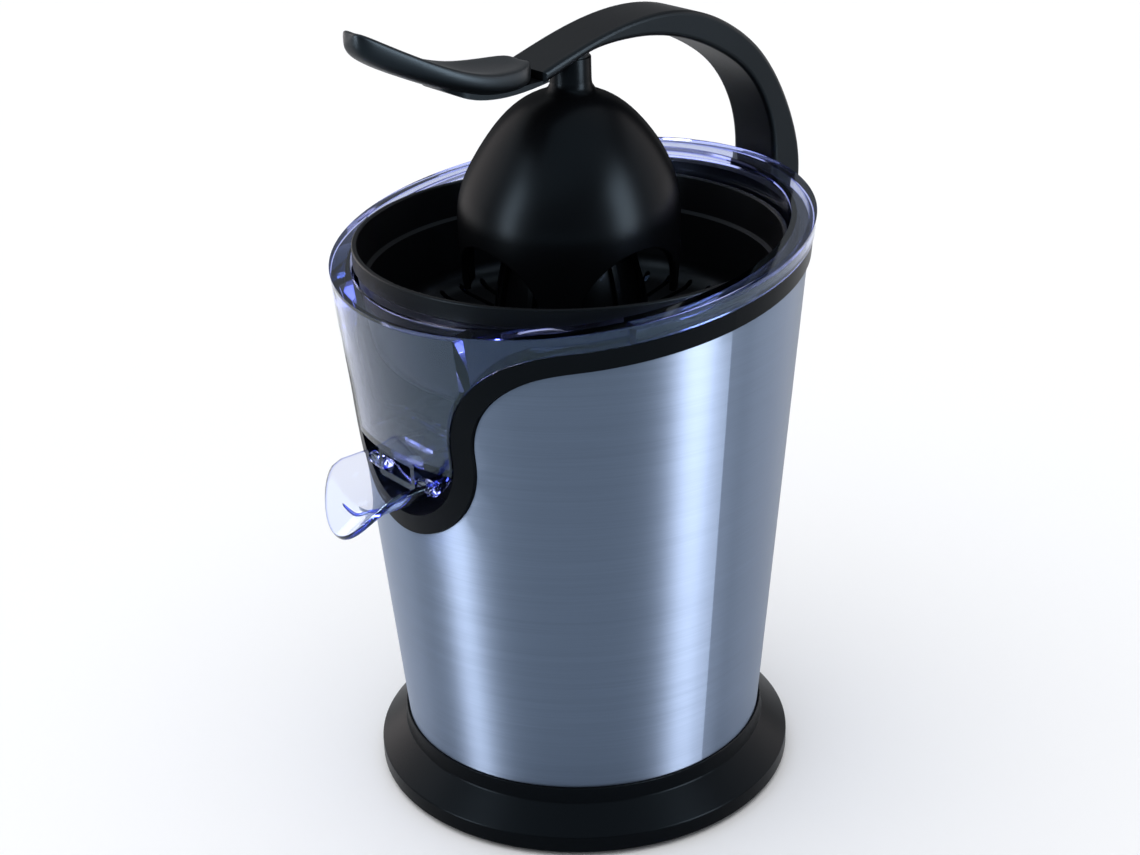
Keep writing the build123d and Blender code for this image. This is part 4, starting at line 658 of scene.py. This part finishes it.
def finished(shape, name, levels=0):
    """Turns a bmesh into a smooth object at the origin."""
    mesh = bpy.data.meshes.new(name)
    shape.to_mesh(mesh)
    shape.free()
    mesh.shade_smooth()
    piece = bpy.data.objects.new(name, mesh)
    bpy.context.scene.collection.objects.link(piece)
    if levels:
        rounding = piece.modifiers.new("rounding", "SUBSURF")
        rounding.levels = levels
        rounding.render_levels = levels
    return piece


def placed(piece, finish, slot, body, *replaced):
    """Gives a modelled piece its finish, its body and the CAD nodes it stands for."""
    piece.data.materials.append(finish)
    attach(piece, body)
    if replaced:
        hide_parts(*replaced)


class CITRUS_OT_stage(bpy.types.Operator):
    """Set up the floor, the soft lamps, the pale room and the camera"""

    bl_idname = "citrus.stage"
    bl_label = "Stage"

    def execute(self, context):
        scene = context.scene
        settings = scene.citrus_stage
        scene.view_settings.view_transform = "Standard"
        mesh = bpy.data.meshes.new("floor")
        sheet = bmesh.new()
        bmesh.ops.create_grid(sheet, x_segments=1, y_segments=1, size=settings.floor_size / 2)
        sheet.to_mesh(mesh)
        sheet.free()
        floor = bpy.data.objects.new("floor", mesh)
        scene.collection.objects.link(floor)
        matt = Finish("pale_floor", {"Base Color": settings.floor_colour, "Roughness": 0.9,
                                     "Specular IOR Level": 0.0})
        mesh.materials.append(matt.material)
        world = bpy.data.worlds.new("pale_room")
        world.use_nodes = True
        world.node_tree.nodes["Background"].inputs["Color"].default_value = settings.room_colour
        scene.world = world
        for name, (side, size, energy) in PANELS.items():
            panel(name, side, size, energy)
        sky = bpy.data.lights.new("sky_panel", "SUN")
        sky.energy = SKY_STRENGTH
        sky.angle = settings.sky_angle
        above = bpy.data.objects.new("sky_panel", sky)
        above.rotation_euler = SKY_TILT
        scene.collection.objects.link(above)
        camera = bpy.data.cameras.new("photo_view")
        camera.sensor_width = 36.0
        camera.lens = settings.focal_length
        holder = bpy.data.objects.new("photo_view", camera)
        scene.collection.objects.link(holder)
        side = settings.camera_side
        place = Matrix.Translation((settings.camera_distance * math.sin(side),
                                    -settings.camera_distance * math.cos(side), settings.camera_height))
        turn = Matrix.Rotation(side + settings.camera_turn, 4, "Z")
        pitch = Matrix.Rotation(math.pi / 2 - settings.camera_pitch, 4, "X")
        holder.matrix_world = place @ turn @ pitch @ Matrix.Rotation(settings.camera_roll, 4, "Z")
        scene.camera = holder
        return {"FINISHED"}


class CITRUS_OT_body(bpy.types.Operator):
    """Finish the steel body, the liner with its trim and the base"""

    bl_idname = "citrus.body"
    bl_label = "Body and base"

    def execute(self, context):
        tints = context.scene.citrus_colours
        dress(brushed_sheet("brushed_steel", tints.steel), "steel_sleeve")
        dress(moulded_plastic("trim_black", tints.black, roughness=0.32, specular=0.06), "inner_housing")
        dress(moulded_plastic("base_black", tints.base, roughness=0.3, specular=0.04), "base_ring")
        dress(moulded_plastic("cover_black", tints.black, roughness=0.5, specular=0.3), "bottom_cover")
        dress(moulded_plastic("rubber", tints.rubber, roughness=0.75, specular=0.2),
              "foot_ring", "cord_gland", "shaft_seal")
        return {"FINISHED"}


class CITRUS_OT_juice_parts(bpy.types.Operator):
    """Finish the clear bowl and spout, the strainer and the reamer"""

    bl_idname = "citrus.juice_parts"
    bl_label = "Bowl, spout, strainer and reamer"

    def execute(self, context):
        tints = context.scene.citrus_colours
        sizes = context.scene.citrus_spout
        clear = clear_plastic("clear_plastic", tints.clear, tints.clear_depth, tints.painted_clear_edge)
        # The drip bead is painted all over in the deep blue of the clear plastic's edges
        deep = clear_plastic("painted_blue_bead", tints.painted_clear_edge, tints.clear_depth, tints.painted_clear_edge)
        dress(clear, "juice_bowl")
        placed(spout_trough(sizes), clear, "clear_plastic", "spout", "spout")
        placed(drip_bead(sizes), deep, "clear_plastic", "spout")
        dress(moulded_plastic("strainer_black", tints.black, roughness=0.36, specular=0.06), "strainer")
        dress(moulded_plastic("reamer_black", tints.black, roughness=0.3, specular=0.06), "reamer")
        return {"FINISHED"}


class CITRUS_OT_lever(bpy.types.Operator):
    """Finish the lever arm, its paddle and the press dome"""

    bl_idname = "citrus.lever"
    bl_label = "Lever and dome"

    def execute(self, context):
        scene = context.scene
        black = scene.citrus_colours.black
        dress(moulded_plastic("lever_black", black, roughness=0.36, specular=0.12, painted_edge_shade=0.4), "lever_arm")
        placed(handle_leaf(scene.citrus_paddle),
               moulded_plastic("paddle_black", black, roughness=0.4, specular=0.2),
               "satin_black", "lever", "handle_paddle")
        placed(dome_shell(scene.citrus_dome),
               moulded_plastic("dome_black", black, roughness=0.31, specular=0.065, painted_edge_shade=1.0),
               "satin_black", "lever", "press_dome")
        return {"FINISHED"}


class CITRUS_OT_inside(bpy.types.Operator):
    """Finish the screws, the drive, the gearbox and the motor"""

    bl_idname = "citrus.inside"
    bl_label = "Drive, motor and screws"

    def execute(self, context):
        tints = context.scene.citrus_colours
        bright = plain_metal("bright_steel", tints.bright, roughness=0.3)
        dress(bright, "cover_screws", "body_screws", "dome_screw", "paddle_screws", "hinge_pin", "drive_shaft",
              "idler_pin", "gearbox_screws", "motor_pinion", "motor_shaft", "motor_bolts")
        coil = return_coil(context.scene.citrus_spring)
        placed(coil, bright, "bright_steel", "housing", "return_spring")
        low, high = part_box("return_spring")
        travel = joint_named("drive_press")["range_m"][1]
        1 - travel / (high[2] - low[2])
        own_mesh(coil)
        dress(plain_metal("bronze", tints.bronze, roughness=0.5, scale=1500.0),
              "tower_bush", "cover_bush", "motor_bushes")
        dress(moulded_plastic("acetal", tints.acetal, roughness=0.4, specular=0.5),
              "thrust_washer", "output_wheel", "idler_gear", "switch_plunger")
        dress(moulded_plastic("casing_grey", tints.casing, roughness=0.5, specular=0.4),
              "gearbox_case", "gearbox_cover", "cooling_fan", "press_switch")
        dress(laminated_iron("laminated_iron", tints.iron), "rotor_core", "stator_core")
        dress(wound_copper("wound_copper", tints.copper), "stator_windings")
        dress(plain_metal("cast_alloy", tints.alloy, roughness=0.55, scale=500.0), "motor_bracket")
        return {"FINISHED"}


OPERATORS = (CITRUS_OT_stage, CITRUS_OT_body, CITRUS_OT_juice_parts, CITRUS_OT_lever, CITRUS_OT_inside)
GROUPS = {"citrus_stage": CitrusStage, "citrus_paddle": CitrusPaddle, "citrus_spout": CitrusSpout,
          "citrus_dome": CitrusDome, "citrus_spring": CitrusSpring, "citrus_colours": CitrusColours}


class CITRUS_PT_press(bpy.types.Panel):
    """Lists the pieces of the press, their sizes and their colours"""

    bl_label = "Citrus press"
    bl_space_type = "VIEW_3D"
    bl_region_type = "UI"
    bl_category = "Citrus press"

    def draw(self, context):
        for operator in OPERATORS:
            self.layout.operator(operator.bl_idname)
        for name, group in GROUPS.items():
            box = self.layout.box()
            box.label(text=group.__doc__)
            for entry in group.__annotations__:
                box.prop(getattr(context.scene, name), entry)


CLASSES = tuple(GROUPS.values()) + OPERATORS + (CITRUS_PT_press,)


def register():
    for item in CLASSES:
        bpy.utils.register_class(item)
    for name, group in GROUPS.items():
        setattr(bpy.types.Scene, name, PointerProperty(type=group))


def unregister():
    for name in GROUPS:
        delattr(bpy.types.Scene, name)
    for item in reversed(CLASSES):
        bpy.utils.unregister_class(item)


def main():
    """Builds the whole scene."""
    register()
    bpy.ops.citrus.stage()
    bpy.ops.citrus.body()
    bpy.ops.citrus.juice_parts()
    bpy.ops.citrus.lever()
    bpy.ops.citrus.inside()


if __name__ == "__main__":
    main()
